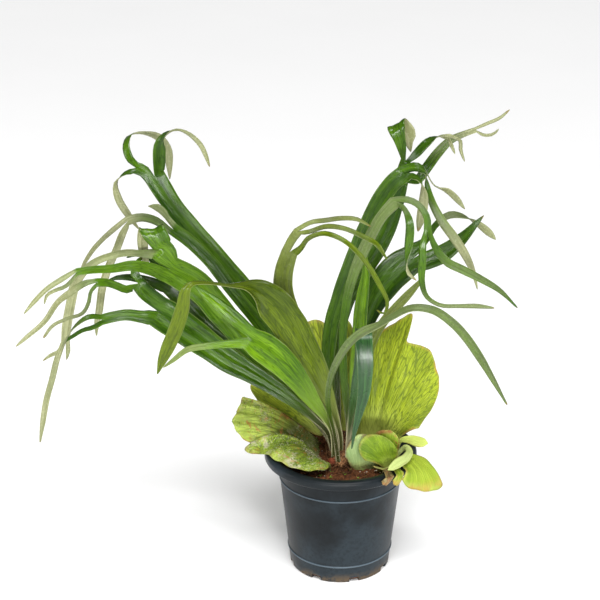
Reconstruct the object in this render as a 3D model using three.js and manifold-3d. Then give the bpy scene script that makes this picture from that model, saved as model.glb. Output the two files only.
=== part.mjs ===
// A staghorn fern in a round nursery pot, in millimetres, +Z up.
// The origin is the centre of the pot's flat underside. +X is to the right and -Y is the front.
import * as THREE from "three";
import { mergeVertices } from "three/addons/utils/BufferGeometryUtils.js";
import Module from "manifold-3d";

const wasm = await Module();
wasm.setup();

// Pot
const POT_HEIGHT = 124;
const RIM_RADIUS = 75;
const RIM_INNER_RADIUS = 66;
const RIM_DEPTH = 10;
const BODY_TOP_RADIUS = 62;
const BODY_FOOT_RADIUS = 49.5;
const POT_WALL = 1.8;
const POT_FLOOR = 2.4;
const RING_RISE = 0.9;
const RING_HEIGHTS = [18, 95];
const POT_SIDES = 34;
const DRAIN_NOTCHES = 8;
const NOTCH_WIDTH = 10;
const NOTCH_HEIGHT = 4;
const NOTCH_REACH = 5;

// Soil and crown
const CLEARANCE = 0.3;
const SOIL_CLEARANCE = 0.4;
const CUT_TOLERANCE = 0.06;
const SOIL_LEVEL = 112;
const SOIL_ROUGHNESS = 1.3;
const SOIL_RINGS = 4;
const SOIL_SIDES = 26;
const CROWN_CENTRE = new THREE.Vector3(0, 13, 114);
const CROWN_HALF = new THREE.Vector3(14, 36, 13);
const BUD_RADIUS = 4.2;
const ROOT_RADIUS = 2.4;
const ROOT_LENGTH = 26;
// Each root's place, x and y, and its slant in degrees
const ROOTS = [[3, -21, 10], [8, -17, 24], [-3, -20, -8], [13, -4, 30], [-12, -12, -26]];

// Fronds
const BLADE_THICKNESS = 1.15;
const STALK_THICKNESS = 3.1;
const STALK_TAPER_LENGTH = 60;
const EDGE_SHARE = 0.68;
const GUTTER = 0.13;
const ROW_STEP = 14;

// Shield fronds
const FAN_SAMPLES = 6;
const DRAPE_HEIGHT = 1.6;
const DRAPE_BULGE = 3;

// The point that the plant is drawn from. A place read on the upright plane y = 0 is moved along the
// line of sight from here to its own depth, and its width grows or shrinks with it.
const EYE = new THREE.Vector3(-40, -1397, 839);
const LEAN_SHARE = 0.9;
const LEAN_FROM = 150;
const LEAN_HEIGHT = 260;

// A place on a frond given as it is seen: x and z on the plane y = 0, its depth y, half its width, and
// how far the blade is turned about its own length. At 0 degrees its upper face looks at the eye.
// Higher up, the places lean further to the front and to the back.
function seen(x, z, depth, half = 0, turn = 0) {
  const lean = 1 + LEAN_SHARE * THREE.MathUtils.clamp((z - LEAN_FROM) / LEAN_HEIGHT, 0, 1);
  const leaned = CROWN_CENTRE.y + (depth - CROWN_CENTRE.y) * lean;
  const share = (leaned - EYE.y) / -EYE.y;
  const place = new THREE.Vector3(EYE.x + (x - EYE.x) * share, leaned, EYE.z + (z - EYE.z) * share);
  return { place, half: half * share, turn };
}

// A place given in the part's own frame.
function grown(x, y, z, half = 0, turn = 0) {
  return { place: new THREE.Vector3(x, y, z), half, turn };
}

// A strap of leaf and the straps that its end forks into.
function strap(spine, ...tines) {
  return { spine, tines };
}

// The same stops with the blade's width held along one direction, where the blade folds over.
function heldAcross(x, y, z, stops) {
  const across = new THREE.Vector3(x, y, z).normalize();
  return stops.map((stop) => ({ ...stop, across }));
}

const STALK_HALF = 3;

// Antler fronds of the left bunch, from the front to the back
const frontLeft = strap(
  [
    grown(-7, -12, 115, STALK_HALF),
    seen(-8, 140, -13, 3.6),
    seen(-14, 154, -15, 4.6),
    seen(-27, 174, -19, 7.5),
    seen(-40, 194, -23, 10.5),
    seen(-52, 210, -26, 13),
    seen(-66, 224, -29, 14.5),
    seen(-79, 234, -31, 14),
    seen(-89, 241, -32, 11.5),
  ],
  strap([
    seen(-105, 264, -29, 7),
    seen(-120, 278, -27, 5.5),
    seen(-131, 287, -25, 3.6),
    seen(-140, 295, -24, 1.2),
  ]),
  strap([
    seen(-105, 235, -34, 4.2),
    seen(-118, 234, -36, 3.6),
    seen(-134, 232, -38, 3.3),
    seen(-148, 229, -38, 3),
    seen(-162, 218, -37, 2.2),
    seen(-172, 210, -36, 1),
  ]),
);

const crestLeft = strap([
  grown(0, -7, 115, STALK_HALF),
  seen(0, 134, -7, 3.4),
  seen(-4, 152, -7, 4.4),
  seen(-10, 170, -8, 6.4),
  seen(-18, 190, -9, 9.6),
  seen(-27, 211, -10, 13),
  seen(-38, 232, -11, 15.5),
  seen(-50, 254, -13, 17),
  seen(-63, 273, -16, 17),
  seen(-76, 286, -21, 14, -20),
  seen(-86, 292, -27, 9, -35),
  seen(-95, 294.5, -33, 5.2, -50),
  seen(-108, 295, -41, 3.2, -60),
  seen(-121, 297, -48, 2.8, -60),
  seen(-134, 298, -54, 2.8, -50),
  seen(-144, 296, -58, 3.4, -30),
  seen(-149, 287, -60, 5.4, -10),
  seen(-151, 275, -60, 6.6),
  seen(-155, 261, -60, 7),
  seen(-160, 247, -60, 7),
  seen(-167, 231, -59, 6.4),
  seen(-173, 217, -58, 4.4),
  seen(-178, 203, -56, 1.2),
]);

const broadLeft = strap(
  [
    grown(-7, -2, 114, STALK_HALF),
    seen(-13, 140, -2, 3.8),
    seen(-26, 155, -2, 4.4),
    seen(-43, 171, -2, 5.6),
    seen(-63, 187, -1, 7.6),
    seen(-86, 203, 0, 9.6),
    seen(-109, 218, 0, 12),
    seen(-129, 234, 0, 13.5),
    seen(-148, 249, -1, 15),
    seen(-164, 261, -2, 16),
    seen(-176, 269, -3, 15),
  ],
  strap(
    [seen(-187, 289, -4, 7.6), seen(-193, 297, -4, 7)],
    strap(
      [
        seen(-204, 291, -8, 3.8),
        seen(-214, 295, -11, 3.8),
        seen(-223, 298, -14, 4),
        seen(-232, 298, -17, 4.2),
      ],
      strap([
        seen(-244, 297, -18.5, 3),
        seen(-256, 289, -22, 3.3),
        seen(-270, 278, -23, 2.8),
        seen(-284, 258, -24, 2.5),
        seen(-303, 241, -26, 2),
        seen(-313, 232, -27, 1),
      ]),
      strap([
        seen(-238, 289, -16, 1.7),
        seen(-241, 277, -14, 1.8),
        seen(-248, 266, -10, 1.8),
        seen(-262, 261, -8, 1.7),
        seen(-276, 254, -7, 1.7),
        seen(-286, 241, -6, 1.4),
      ]),
    ),
    strap([seen(-196, 308, 1, 4.2), seen(-193, 318, 4, 3), seen(-187, 325, 6, 1.2)]),
  ),
  strap(
    [
      seen(-191, 263, -6, 6),
      seen(-205, 265, -8, 5.4),
      seen(-218, 263, -10, 5.2),
      seen(-229, 260, -12, 5.2),
    ],
    strap([
      seen(-241, 263, -16, 2.8, -20),
      seen(-252, 256, -20, 2.8, -50),
      seen(-264, 241, -24, 2.9, -110),
      seen(-273, 222, -26, 3, -160),
      seen(-280, 198, -26, 3, -180),
      seen(-287, 175, -26, 3, -180),
      seen(-292, 151, -25, 2.6, -180),
      seen(-296, 129, -24, 1.1, -180),
    ]),
    strap([
      seen(-238, 252, -11, 2.4),
      seen(-248, 249, -10, 2.1),
      seen(-259, 242, -9, 1.8),
      seen(-268, 236, -8, 1),
    ]),
  ),
);

const archedLeft = strap(
  [
    grown(-7, 8, 115, STALK_HALF),
    seen(-14, 138, 9, 3.7),
    seen(-30, 160, 11, 5),
    seen(-51, 186, 13, 7),
    seen(-74, 214, 14, 9),
    seen(-97, 244, 13, 11),
    seen(-117, 270, 10, 12.5),
    seen(-135, 293, 6, 13.5),
    seen(-150, 304, 3, 14),
    seen(-162, 311, 0, 13),
  ],
  strap(
    [
      seen(-182, 312, -10, 6),
      seen(-199, 315, -20, 5),
      seen(-217, 312, -28, 4),
      seen(-234, 311, -34, 3.6),
      seen(-250, 309, -38, 3.6),
    ],
    strap([
      seen(-264, 302, -42, 2.6),
      seen(-279, 292, -44, 2.4),
      seen(-292, 279, -45, 2.2),
      seen(-303, 266, -46, 1),
    ]),
    strap([
      seen(-262, 294, -36, 1.9),
      seen(-272, 290, -35, 1.8),
      seen(-280, 285, -34, 1.6),
      seen(-283, 276, -33, 0.9),
    ]),
  ),
  strap(
    [seen(-165, 325, 0, 11), seen(-170, 331, 0, 11.5)],
    strap(
      [
        seen(-188, 327, 4, 3.6),
        seen(-202, 328, 6, 3.4),
        seen(-217, 325, 8, 3.3),
        seen(-232, 319, 9, 3.4),
        seen(-244, 309, 10, 4),
        seen(-253, 295, 10, 4.6),
        seen(-258, 276, 10, 4.6),
        seen(-263, 253, 9, 4.5),
        seen(-265, 237, 8, 4.2),
      ],
      strap([seen(-263, 228, 7, 2.2), seen(-265, 218, 6, 1)]),
      strap([seen(-272, 227, 9, 2), seen(-280, 223, 10, 1.8), seen(-288, 217, 10, 0.9)]),
    ),
    strap(
      heldAcross(0.98, 0, 0.18, [
        seen(-168, 335, 0, 9.4),
        seen(-173, 343, 0, 10.8),
        seen(-178, 351, 1, 11.8),
        seen(-179.5, 352, 4, 11.4),
        seen(-184.5, 347, 6.5, 7.4),
        seen(-187, 340, 8, 5.4),
        seen(-187, 331, 9, 4.6),
        seen(-186, 323, 9.5, 3.6),
        seen(-183.5, 315, 9.5, 2.2),
        seen(-182, 309, 9.5, 1),
      ]),
    ),
  ),
);

const darkLeft = strap(
  [
    grown(-7, 18, 115, STALK_HALF),
    seen(-15, 145, 20, 3.7),
    seen(-32, 168, 23, 5),
    seen(-60, 196, 26, 7),
    seen(-94, 226, 28, 9),
    seen(-124, 255, 28, 10.5),
    seen(-147, 279, 27, 11),
    seen(-162, 296, 26, 10.5),
  ],
  strap([
    seen(-182, 299, 22, 4.6),
    seen(-198, 303, 20, 3.6),
    seen(-212, 303, 18, 2.4),
    seen(-222, 300, 17, 1),
  ]),
  strap([
    seen(-171, 315, 24, 5),
    seen(-181, 324, 22, 4),
    seen(-193, 327, 22, 2.8),
    seen(-203, 323, 21, 1.2),
  ]),
);

const wispyLeft = strap(
  [
    grown(-7, 28, 115, STALK_HALF),
    seen(-15, 160, 32, 3.7),
    seen(-37, 195, 37, 4.6),
    seen(-61, 230, 41, 5.4),
    seen(-84, 263, 43, 6),
    seen(-107, 294, 44, 6),
    seen(-125, 320, 44, 6),
    seen(-144, 340, 44, 6),
    seen(-158, 351, 44, 6),
  ],
  strap(
    [seen(-175, 360, 43, 4), seen(-188, 363, 42, 4), seen(-200, 360, 41, 4.6)],
    strap([
      seen(-214, 351, 43, 2.5),
      seen(-224, 342, 44, 2.3),
      seen(-234, 331, 44, 2.2),
      seen(-242, 319, 44, 1.8),
      seen(-247, 310, 44, 0.9),
    ]),
    strap([
      seen(-206, 346, 36, 3.4),
      seen(-212, 331, 34, 3.6),
      seen(-220, 314, 33, 3.7),
      seen(-227, 293, 32, 3.7),
      seen(-231, 270, 31, 3.5),
      seen(-234, 256, 31, 2.6),
      seen(-235, 243, 31, 1),
    ]),
  ),
  strap([
    seen(-163.5, 363, 47, 2.6),
    seen(-167.5, 369, 48, 3.6),
    seen(-173, 373, 49, 3.4),
    seen(-181, 374, 50, 1),
  ]),
);

const tallLeft = strap(
  [
    grown(-7, 38, 115, STALK_HALF),
    seen(-14, 165, 44, 3.8),
    seen(-34, 205, 50, 5),
    seen(-58, 243, 55, 6.5),
    seen(-80, 275, 58, 8),
    seen(-99, 300, 60, 9),
    seen(-120, 326, 61, 9),
    seen(-141, 352, 61, 9),
    seen(-158, 375, 61, 9),
    seen(-168, 392, 61, 9.5),
    seen(-174, 403, 61, 10),
  ],
  strap(
    [seen(-184, 408, 60, 5.6), seen(-191, 411, 60, 5.6)],
    strap([
      seen(-202, 405, 58, 3.2, -60),
      seen(-210, 396, 56, 3.4, -120),
      seen(-208, 381, 55, 3.5, -170),
      seen(-200, 366, 54, 3.3, -180),
      seen(-190, 351, 53, 1.1, -180),
    ]),
    strap([
      seen(-196, 420, 64, 3.6, 10),
      seen(-199, 432, 68, 4, 40),
      seen(-195, 442, 73, 4.2, 80),
      seen(-182, 444, 78, 4.4, 110),
      seen(-169, 440, 80, 4.2, 150),
      seen(-161, 428, 80, 4, 180),
      seen(-160, 414, 79, 3.2, 180),
      seen(-160, 400, 78, 1.1, 180),
    ]),
  ),
  strap([
    seen(-169, 418, 58, 5.8),
    seen(-168, 431, 55, 6, 20),
    seen(-163, 442, 52, 5, 70),
    seen(-152, 447, 49, 3, 110),
    seen(-141, 443, 47, 2.4, 140),
    seen(-131, 433, 46, 2.4, 170),
    seen(-126, 422, 45, 2, 180),
    seen(-123, 412, 45, 1, 180),
  ]),
);

// Antler frond in the middle
const archMiddle = strap(
  [
    grown(0, 3, 115, STALK_HALF),
    seen(-5, 150, 3, 3.8),
    seen(-14, 180, 4, 5),
    seen(-26, 212, 5, 7),
    seen(-39, 242, 5, 8.5),
    seen(-50, 268, 5, 9.5),
    seen(-56, 291, 4, 9.5),
    seen(-55, 310, 2, 8.8),
    seen(-50, 328, -2, 8),
  ],
  strap(
    [seen(-47, 342, -5, 4.2), seen(-42, 349, -8, 4.4)],
    strap([
      seen(-30, 358, -8, 2.2, 10),
      seen(-16, 360, -5, 2.4, 30),
      seen(-2, 362, -5, 2.4, 30),
      seen(13, 361, -6, 2.2, 30),
      seen(26, 354, -7, 1, 30),
    ]),
    strap([
      seen(-31, 349, -11, 2.2, 10),
      seen(-15, 354, -17, 2.5, 30),
      seen(1, 352, -20, 2.5, 30),
      seen(17, 345, -22, 2.5, 30),
      seen(32, 336, -24, 2.3, 20),
      seen(42, 321, -25, 1, 10),
    ]),
  ),
  strap([
    seen(-39, 333, -9, 2.8),
    seen(-31, 343, -18, 2.5, 20),
    seen(-16, 347, -25, 2.5, 30),
    seen(1, 340, -29, 2.5, 30),
    seen(15, 327, -31, 2.5, 20),
    seen(26, 312, -32, 2.5, 10),
    seen(36, 294, -33, 2.3),
    seen(43, 278, -33, 1.8),
    seen(40, 266, -33, 1.4),
    seen(33, 270, -34, 0.9),
  ]),
);

// Antler fronds of the right bunch, from the front to the back
const frontRight = strap([
  grown(-2, -19, 114, STALK_HALF),
  seen(-6, 138, -22, 2.7),
  seen(-11, 160, -28, 2.6),
  seen(-13, 180, -35, 2.7),
  seen(-10, 201, -42, 3.1),
  seen(-2, 221, -50, 3.7),
  seen(9, 238, -58, 4.2),
  seen(21, 248, -64, 4.3, 20),
  seen(34, 254, -67, 4, 40),
  seen(48, 263, -68, 4, 40),
  seen(66, 272, -69, 4, 30),
  seen(86, 270, -70, 4.2, 20),
  seen(104, 258, -70, 4.3, 10),
  seen(118, 243, -69, 4.4),
  seen(133, 221, -68, 4),
  seen(147, 197, -66, 2.8),
  seen(162, 170, -64, 1.1),
]);

// This blade rises, bends over towards the front and hangs, with its width along X all the way.
const hangingRight = strap(
  heldAcross(-1, 0, 0, [
    grown(6, -14, 114, STALK_HALF),
    seen(9, 150, -17, 3.6),
    seen(14, 185, -23, 5),
    seen(19, 214, -28, 7),
    seen(21, 234, -31, 8.2),
    seen(21, 246, -36, 8.4),
    seen(21, 250, -43, 8.4),
    seen(21, 244, -50, 8.3),
    seen(22, 230, -57, 8.3),
    seen(23, 208, -65, 7.7),
    seen(22, 183, -71, 6.1),
    seen(17, 158, -73, 3.7),
    seen(13, 138, -72, 2),
    seen(11, 122, -70, 0.9),
  ]),
);

const starRight = strap(
  [
    grown(9, -9, 114, STALK_HALF),
    seen(8, 145, -9, 3.6),
    seen(5, 175, -6, 3.8),
    seen(2, 207, -2, 3.8),
    seen(1, 240, -1, 3.8),
    seen(3, 268, -1, 4),
    seen(8, 297, -2, 4.5),
    seen(16, 322, -3, 5.2),
    seen(26, 345, -5, 5.3),
    seen(36, 364, -7, 5.2),
    seen(48, 378, -9, 6),
  ],
  strap(
    [seen(61, 380, -12, 3.2), seen(71, 374, -13, 3), seen(78, 363, -14, 3.2), seen(79, 350, -15, 3.6)],
    strap([
      seen(86, 335, -13, 3.2),
      seen(98, 319, -12, 4),
      seen(113, 311, -12, 4),
      seen(130, 302, -12, 3.5),
      seen(149, 290, -12, 2.5),
      seen(167, 272, -12, 1),
    ]),
    strap([
      seen(75, 335, -18, 3.4),
      seen(75, 318, -20, 3.7),
      seen(75, 300, -21, 3),
      seen(80, 284, -22, 2.3),
      seen(93, 275, -22, 2),
      seen(111, 274, -22, 2),
      seen(128, 274, -22, 2.4),
      seen(145, 272, -22, 1.2),
    ]),
  ),
  strap([
    seen(57, 371, -16, 2.5),
    seen(62, 358, -20, 3.8),
    seen(62, 338, -21, 4.2),
    seen(60, 322, -22, 3, -60),
    seen(62, 308, -23, 2.2, -140),
    seen(70, 300, -24, 1, -160),
  ]),
);

const uprightRight = strap([
  grown(7, 4, 115, STALK_HALF),
  seen(9, 150, 6, 3.8),
  seen(12, 180, 8, 4.8),
  seen(14, 210, 9, 6),
  seen(16, 235, 9, 6.5),
  seen(17, 254, 9, 6.6),
  seen(18, 272, 9, 6.6),
  seen(20, 290, 9, 5.4),
  seen(22, 308, 8, 3.8),
  seen(21, 324, 8, 2.3),
  seen(18, 338, 8, 1),
]);

const tallRight = strap(
  [
    grown(0, 15, 115, STALK_HALF),
    seen(-3, 150, 16, 3.8),
    seen(-9, 180, 17, 4.8),
    seen(-13, 210, 18, 6),
    seen(-12, 238, 18, 6.8),
    seen(-9, 260, 18, 7.2),
    seen(-3, 280, 17, 7.8),
    seen(3, 298, 16, 8.5),
    seen(12, 325, 16, 8.5),
    seen(22, 352, 16, 8.5),
    seen(33, 377, 15, 8.3),
    seen(45, 396, 14, 8.2),
    seen(55, 405, 13, 8),
  ],
  strap(
    [seen(66, 412, 17, 4.3, 10), seen(75, 408, 20, 4.6, 50)],
    strap([
      seen(84, 394, 24, 2.8, 90),
      seen(96, 389, 27, 3, 150),
      seen(105, 381, 29, 3, 170),
      seen(113, 371, 30, 1.1, 180),
    ]),
    strap([
      seen(78, 390, 16, 3.2, 30),
      seen(84, 374, 13, 3.6),
      seen(93, 358, 11, 4.2),
      seen(104, 343, 9, 4.4),
      seen(115, 326, 8, 3.9),
      seen(123, 309, 7, 2.6),
      seen(128, 291, 7, 0.9),
    ]),
  ),
  strap([
    seen(64, 403, 8, 3, 20),
    seen(71, 398, 4, 3.4, 70),
    seen(74, 389, 3, 4.4, 130),
    seen(74, 374, 2, 4.8, 170),
    seen(72, 360, 2.5, 4, 180),
    seen(70, 349, 3, 1.6, 180),
  ]),
);

const lowRight = strap([
  grown(7, 15, 115, STALK_HALF),
  seen(11, 150, 17, 3.7),
  seen(17, 182, 20, 4),
  seen(24, 214, 22, 4.2),
  seen(31, 241, 22, 4.3),
  seen(40, 258, 21, 4.5),
  seen(51, 272, 20, 4.5),
  seen(62, 285, 19, 4),
  seen(71, 296, 18, 2.6),
  seen(78, 305, 17, 1),
]);

const darkRight = strap(
  [
    grown(7, 26, 115, STALK_HALF),
    seen(9, 160, 29, 3.8),
    seen(12, 195, 32, 5),
    seen(17, 230, 33, 7),
    seen(23, 262, 33, 10),
    seen(32, 285, 32, 13.5),
    seen(44, 303, 31, 15.5),
    seen(56, 315, 30, 15.5),
    seen(66, 322, 29, 13.5),
  ],
  strap([
    seen(77, 340, 32, 3.4),
    seen(86, 355, 34, 3),
    seen(98, 365, 36, 3.4),
    seen(112, 364, 37, 3.8, 60),
    seen(125, 357, 38, 4.3, 130),
    seen(136, 348, 39, 4, 155),
    seen(143, 341, 39.5, 1.6, 160),
  ]),
  strap([
    seen(79, 320, 27, 8.6),
    seen(92, 326, 26, 8.6),
    seen(104, 335, 25, 7.2),
    seen(115, 346, 24, 4.8),
    seen(124, 357, 23, 2.8),
    seen(131, 365, 23, 1),
  ]),
);

const highestRight = strap(
  [
    grown(0, 34, 115, STALK_HALF),
    seen(-3, 168, 37, 3.8),
    seen(-5, 210, 42, 4.8),
    seen(-2, 250, 45, 5.6),
    seen(8, 285, 46.5, 6.2),
    seen(22, 312, 47, 7.4),
    seen(34, 335, 47, 8.2),
    seen(43, 356, 46, 8),
    seen(49, 378, 44, 7.4),
    seen(53, 398, 42, 7),
  ],
  strap(
    [seen(54, 410, 42, 4.6), seen(57, 418, 42, 4.8)],
    strap(
      heldAcross(0.88, 0, 0.47, [
        seen(53, 430, 42, 4.3),
        seen(50.5, 439, 42, 5.6),
        seen(48, 447, 42, 7.8),
        seen(47.3, 452, 43.5, 8.8),
        seen(48.7, 453, 46.5, 8.8),
        seen(51.7, 449.5, 48.5, 9),
        seen(56, 444.5, 49.5, 9),
        seen(59, 439, 50, 6.8),
        seen(59.5, 434.5, 50, 3.6),
        seen(60.5, 430, 50, 2.2),
        seen(61.5, 426, 50, 1),
      ]),
    ),
    strap(
      [
        seen(67, 425, 45, 3.8),
        seen(76, 435, 46, 4, 20),
        seen(86, 441, 47, 4, 90),
        seen(96, 440, 48, 3.8, 140),
      ],
      strap([seen(106, 437, 49, 1.8, 150), seen(107, 428, 50, 1.7, 170), seen(111, 417, 50, 0.9, 180)]),
      strap([seen(99, 431, 46, 1.7, 170), seen(102, 424, 45, 0.9, 180)]),
    ),
  ),
  strap(
    [
      seen(69, 400, 50, 4.2),
      seen(77, 412, 54, 4.8),
      seen(86, 425, 57, 4.6),
      seen(97, 437, 60, 3.6),
      seen(109, 443, 62, 2.8),
      seen(120, 447, 63, 2.6),
    ],
    strap([seen(130, 453, 62, 1.6), seen(141, 458, 62, 1.5), seen(150, 466, 62, 0.9)]),
    strap([seen(128, 442, 65, 1.5), seen(136, 443, 66, 1.4), seen(141, 448, 66, 0.9)]),
  ),
);

// A shield frond: a sheet that fans from a short base line to its outline. cup bows the sheet off the
// straight way from base to edge, along its face, and rise bows it upwards. A draped sheet runs out of
// the pot over the rim and hangs outside it.
function shield(base, outline, form) {
  return { base, outline, form: { cup: 0, rise: 0, ripple: 0.3, waves: 3, ribs: 0, draped: false, ...form } };
}

const shieldRight = shield(
  [grown(14, 34, 108), grown(34, 32, 108), grown(50, 27, 108)],
  [
    seen(12, 160, 40),
    seen(15, 196, 46),
    seen(23, 228, 48),
    seen(36, 247, 48),
    seen(52, 258, 46),
    seen(67, 267, 44),
    seen(65, 250, 36),
    seen(63, 238, 36),
    seen(72, 235, 38),
    seen(81, 231, 36),
    seen(88, 223, 34),
    seen(92, 211, 31),
    seen(95, 195, 29),
    seen(94, 180, 27),
    seen(89, 166, 26),
    seen(81, 153, 24),
    seen(77, 145, 21),
  ],
  { cup: 9, rise: 5, ripple: 1.8, waves: 7, ribs: 0.5, columns: 26, rows: 6, thickness: 1.2 },
);

const shieldBack = shield(
  [grown(-18, 50, 108), grown(0, 55, 108), grown(14, 50, 108)],
  [
    seen(-82, 175, 56),
    seen(-88, 190, 62),
    seen(-71, 209, 68),
    seen(-58, 230, 74),
    seen(-44, 248, 76),
    seen(-34, 258, 75),
    seen(-22, 260, 76),
    seen(-14, 256, 76),
    seen(-6, 260, 74),
    seen(6, 259, 72),
    seen(12, 246, 68),
    seen(14, 215, 62),
    seen(14, 175, 56),
  ],
  { cup: 8, ripple: 2.2, waves: 6, ribs: 0.5, columns: 20, rows: 5, thickness: 1.2 },
);

const shieldLeft = shield(
  [grown(-17, 0, 109), grown(-19, 16, 109), grown(-17, 34, 109)],
  [
    seen(-88, 127, 0),
    seen(-98, 135, 1),
    seen(-105, 147, 5),
    seen(-107, 153, 8),
    seen(-102, 164, 14),
    seen(-96, 179, 22),
  ],
  { cup: 1, rise: 9, ripple: 1.6, waves: 5, ribs: 0.4, columns: 18, rows: 5, thickness: 1.3 },
);

const shieldMossy = shield(
  [grown(-19, -4, 109), grown(-17, -15, 109), grown(-10, -26, 109)],
  [
    seen(-84, 131, -4),
    seen(-95, 123, -8),
    seen(-88, 116, -12),
    seen(-77, 117, -18),
    seen(-69, 113, -28),
    seen(-61, 108, -38),
    seen(-51, 103, -47),
    seen(-41, 99, -53),
    seen(-31, 98, -54),
    seen(-21, 98, -48),
    seen(-12, 101, -39),
  ],
  { cup: 15, rise: 4, ripple: 0.8, waves: 6, ribs: 0.5, columns: 22, rows: 5, thickness: 1.5 },
);

const offsetDisc = shield(
  [grown(11, -22, 109), grown(21, -23, 109), grown(32, -20, 109)],
  [
    seen(5, 114, -23),
    seen(6, 123, -22),
    seen(10, 131, -21),
    seen(17, 138, -18),
    seen(25, 138, -16),
    seen(33, 130, -15),
    seen(38, 118, -15),
    seen(40, 109, -16),
  ],
  { cup: 4, columns: 10, rows: 4, thickness: 1.3 },
);

const offsetPad = shield(
  [grown(52, -14, 109), grown(48, -17, 109), grown(45, -21, 109)],
  [
    seen(57, 118, -20),
    seen(52, 128, -18),
    seen(44, 135, -17),
    seen(36, 138, -20),
    seen(25, 137, -24),
    seen(18, 127, -27),
    seen(19, 117, -29),
    seen(24, 109, -31),
  ],
  { cup: 5, rise: 3, columns: 10, rows: 4, thickness: 1.4 },
);

const offsetCurl = shield(
  [grown(38, -2, 109), grown(46, -1, 109), grown(53, -2, 109)],
  [
    seen(31, 132, -8),
    seen(35, 140, -7),
    seen(42, 143, -6),
    seen(50, 142, -6),
    seen(56, 136, -6),
    seen(58, 128, -6),
  ],
  { cup: 3, columns: 8, rows: 4, thickness: 1.4 },
);

const offsetUnder = shield(
  [grown(36, -28, 110), grown(42, -27, 110), grown(48, -25, 110)],
  [
    seen(32, 103, -36),
    seen(38, 100, -40),
    seen(44, 99, -41),
    seen(50, 103, -36),
    seen(53, 108, -30),
  ],
  { rise: 3, columns: 8, rows: 3, thickness: 1.3 },
);

// The pointed leaf and the lobe are narrow, so they are straps too.
const offsetPointed = strap([
  grown(53, -8, 111, 2),
  grown(57, -9, 122, 2.4),
  seen(64, 124, -15, 3, 15),
  seen(68, 119, -27, 3.6, 12),
  seen(64, 111.5, -42, 4.6, 10),
  seen(57, 106.5, -53, 4.8),
  seen(51, 101.5, -61, 3.4),
  seen(47, 98.5, -65, 1.2),
]);

const offsetLobe = strap([
  grown(55, 5, 111, 2.2),
  seen(59, 131, 5, 2.8, 30),
  seen(69, 132, 1, 5, 20),
  seen(76, 130, -2, 5.6, 10),
  seen(82, 129, -4, 4.4),
  seen(86, 128, -5, 2),
]);

const offsetTongue = shield(
  [grown(51, -26, 109), grown(54, -18, 109), grown(56, -12, 109)],
  [
    seen(61, 88, -55),
    seen(65, 81, -55),
    seen(73, 77, -52),
    seen(85, 74.5, -46),
    seen(97, 76.5, -38),
    seen(102, 82, -32),
    seen(97, 90, -27),
    seen(91, 98, -23),
  ],
  { ripple: 0.5, waves: 4, ribs: 0.4, draped: true, columns: 10, rows: 6, thickness: 1.3 },
);

const dryStrip = shield(
  [grown(36, -41, 109), grown(38, -39, 109), grown(40, -37, 109)],
  [seen(41, 86, -69), seen(42, 83, -70), seen(45, 81, -69), seen(48, 83, -67), seen(50, 86, -65)],
  { draped: true, columns: 4, rows: 6, thickness: 1.2 },
);

const greenStrip = shield(
  [grown(43, -35, 109), grown(45, -33, 109), grown(47, -31, 109)],
  [seen(52, 87, -63), seen(53, 83, -64), seen(56, 81, -62), seen(59, 83, -59), seen(60, 87, -57)],
  { draped: true, columns: 4, rows: 6, thickness: 1.2 },
);

// A sheet is a list of places on its middle surface, each with its face's direction and its thickness,
// and the triangles between them.
class Sheet {
  constructor() {
    this.places = [];
    this.faces = [];
    this.thicknesses = [];
    this.triangles = [];
  }

  add(place, face, thickness) {
    this.places.push(place);
    this.faces.push(face);
    this.thicknesses.push(thickness);
    return this.places.length - 1;
  }

  // Joins two rows of places. Rows of unlike number meet in a fan.
  join(row, next) {
    const cells = Math.max(row.length, next.length) - 1;
    const along = (list, i) => list[Math.round((i * (list.length - 1)) / cells)];
    for (let i = 0; i < cells; i++) {
      this.triangle(along(row, i), along(row, i + 1), along(next, i));
      this.triangle(along(row, i + 1), along(next, i + 1), along(next, i));
    }
  }

  triangle(a, b, c) {
    if (a !== b && b !== c && c !== a) this.triangles.push([a, b, c]);
  }

  // One closed solid: both faces carry the same triangles, and each free edge gets a wall.
  // swell makes every side stand out by that much, for cutting a socket.
  solid(swell = 0) {
    const count = this.places.length;
    const position = new Float32Array(count * 6);
    this.places.forEach((place, i) => {
      const offset = this.faces[i].clone().multiplyScalar(this.thicknesses[i] / 2 + swell);
      place.clone().add(offset).toArray(position, i * 3);
      place.clone().sub(offset).toArray(position, (count + i) * 3);
    });
    const index = [];
    const directed = new Set();
    for (const [a, b, c] of this.triangles) {
      index.push(a, b, c, count + c, count + b, count + a);
      [[a, b], [b, c], [c, a]].forEach(([from, to]) => directed.add(from + " " + to));
    }
    for (const edge of directed) {
      const [from, to] = edge.split(" ").map(Number);
      if (directed.has(to + " " + from)) continue;
      index.push(to, from, count + from, to, count + from, count + to);
    }
    const geometry = new THREE.BufferGeometry();
    geometry.setAttribute("position", new THREE.BufferAttribute(position, 3));
    geometry.setIndex(index);
    return geometry;
  }
}

function smoothValue(values, t) {
  const at = t * (values.length - 1);
  const i = Math.min(Math.floor(at), values.length - 2);
  return THREE.MathUtils.lerp(values[i], values[i + 1], at - i);
}

// The direction across the blade at each given place, from its run, the line of sight and its turn.
function acrossDirections(curve, spine) {
  return spine.map(({ place, turn, across }, i) => {
    if (across) return across.clone();
    const run = curve.getTangent(i / (spine.length - 1));
    const sight = EYE.clone().sub(place).normalize();
    const flat = run.clone().cross(sight).normalize();
    const towards = flat.clone().cross(run);
    const angle = THREE.MathUtils.degToRad(turn);
    return flat.multiplyScalar(Math.cos(angle)).addScaledVector(towards, Math.sin(angle));
  });
}

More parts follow.
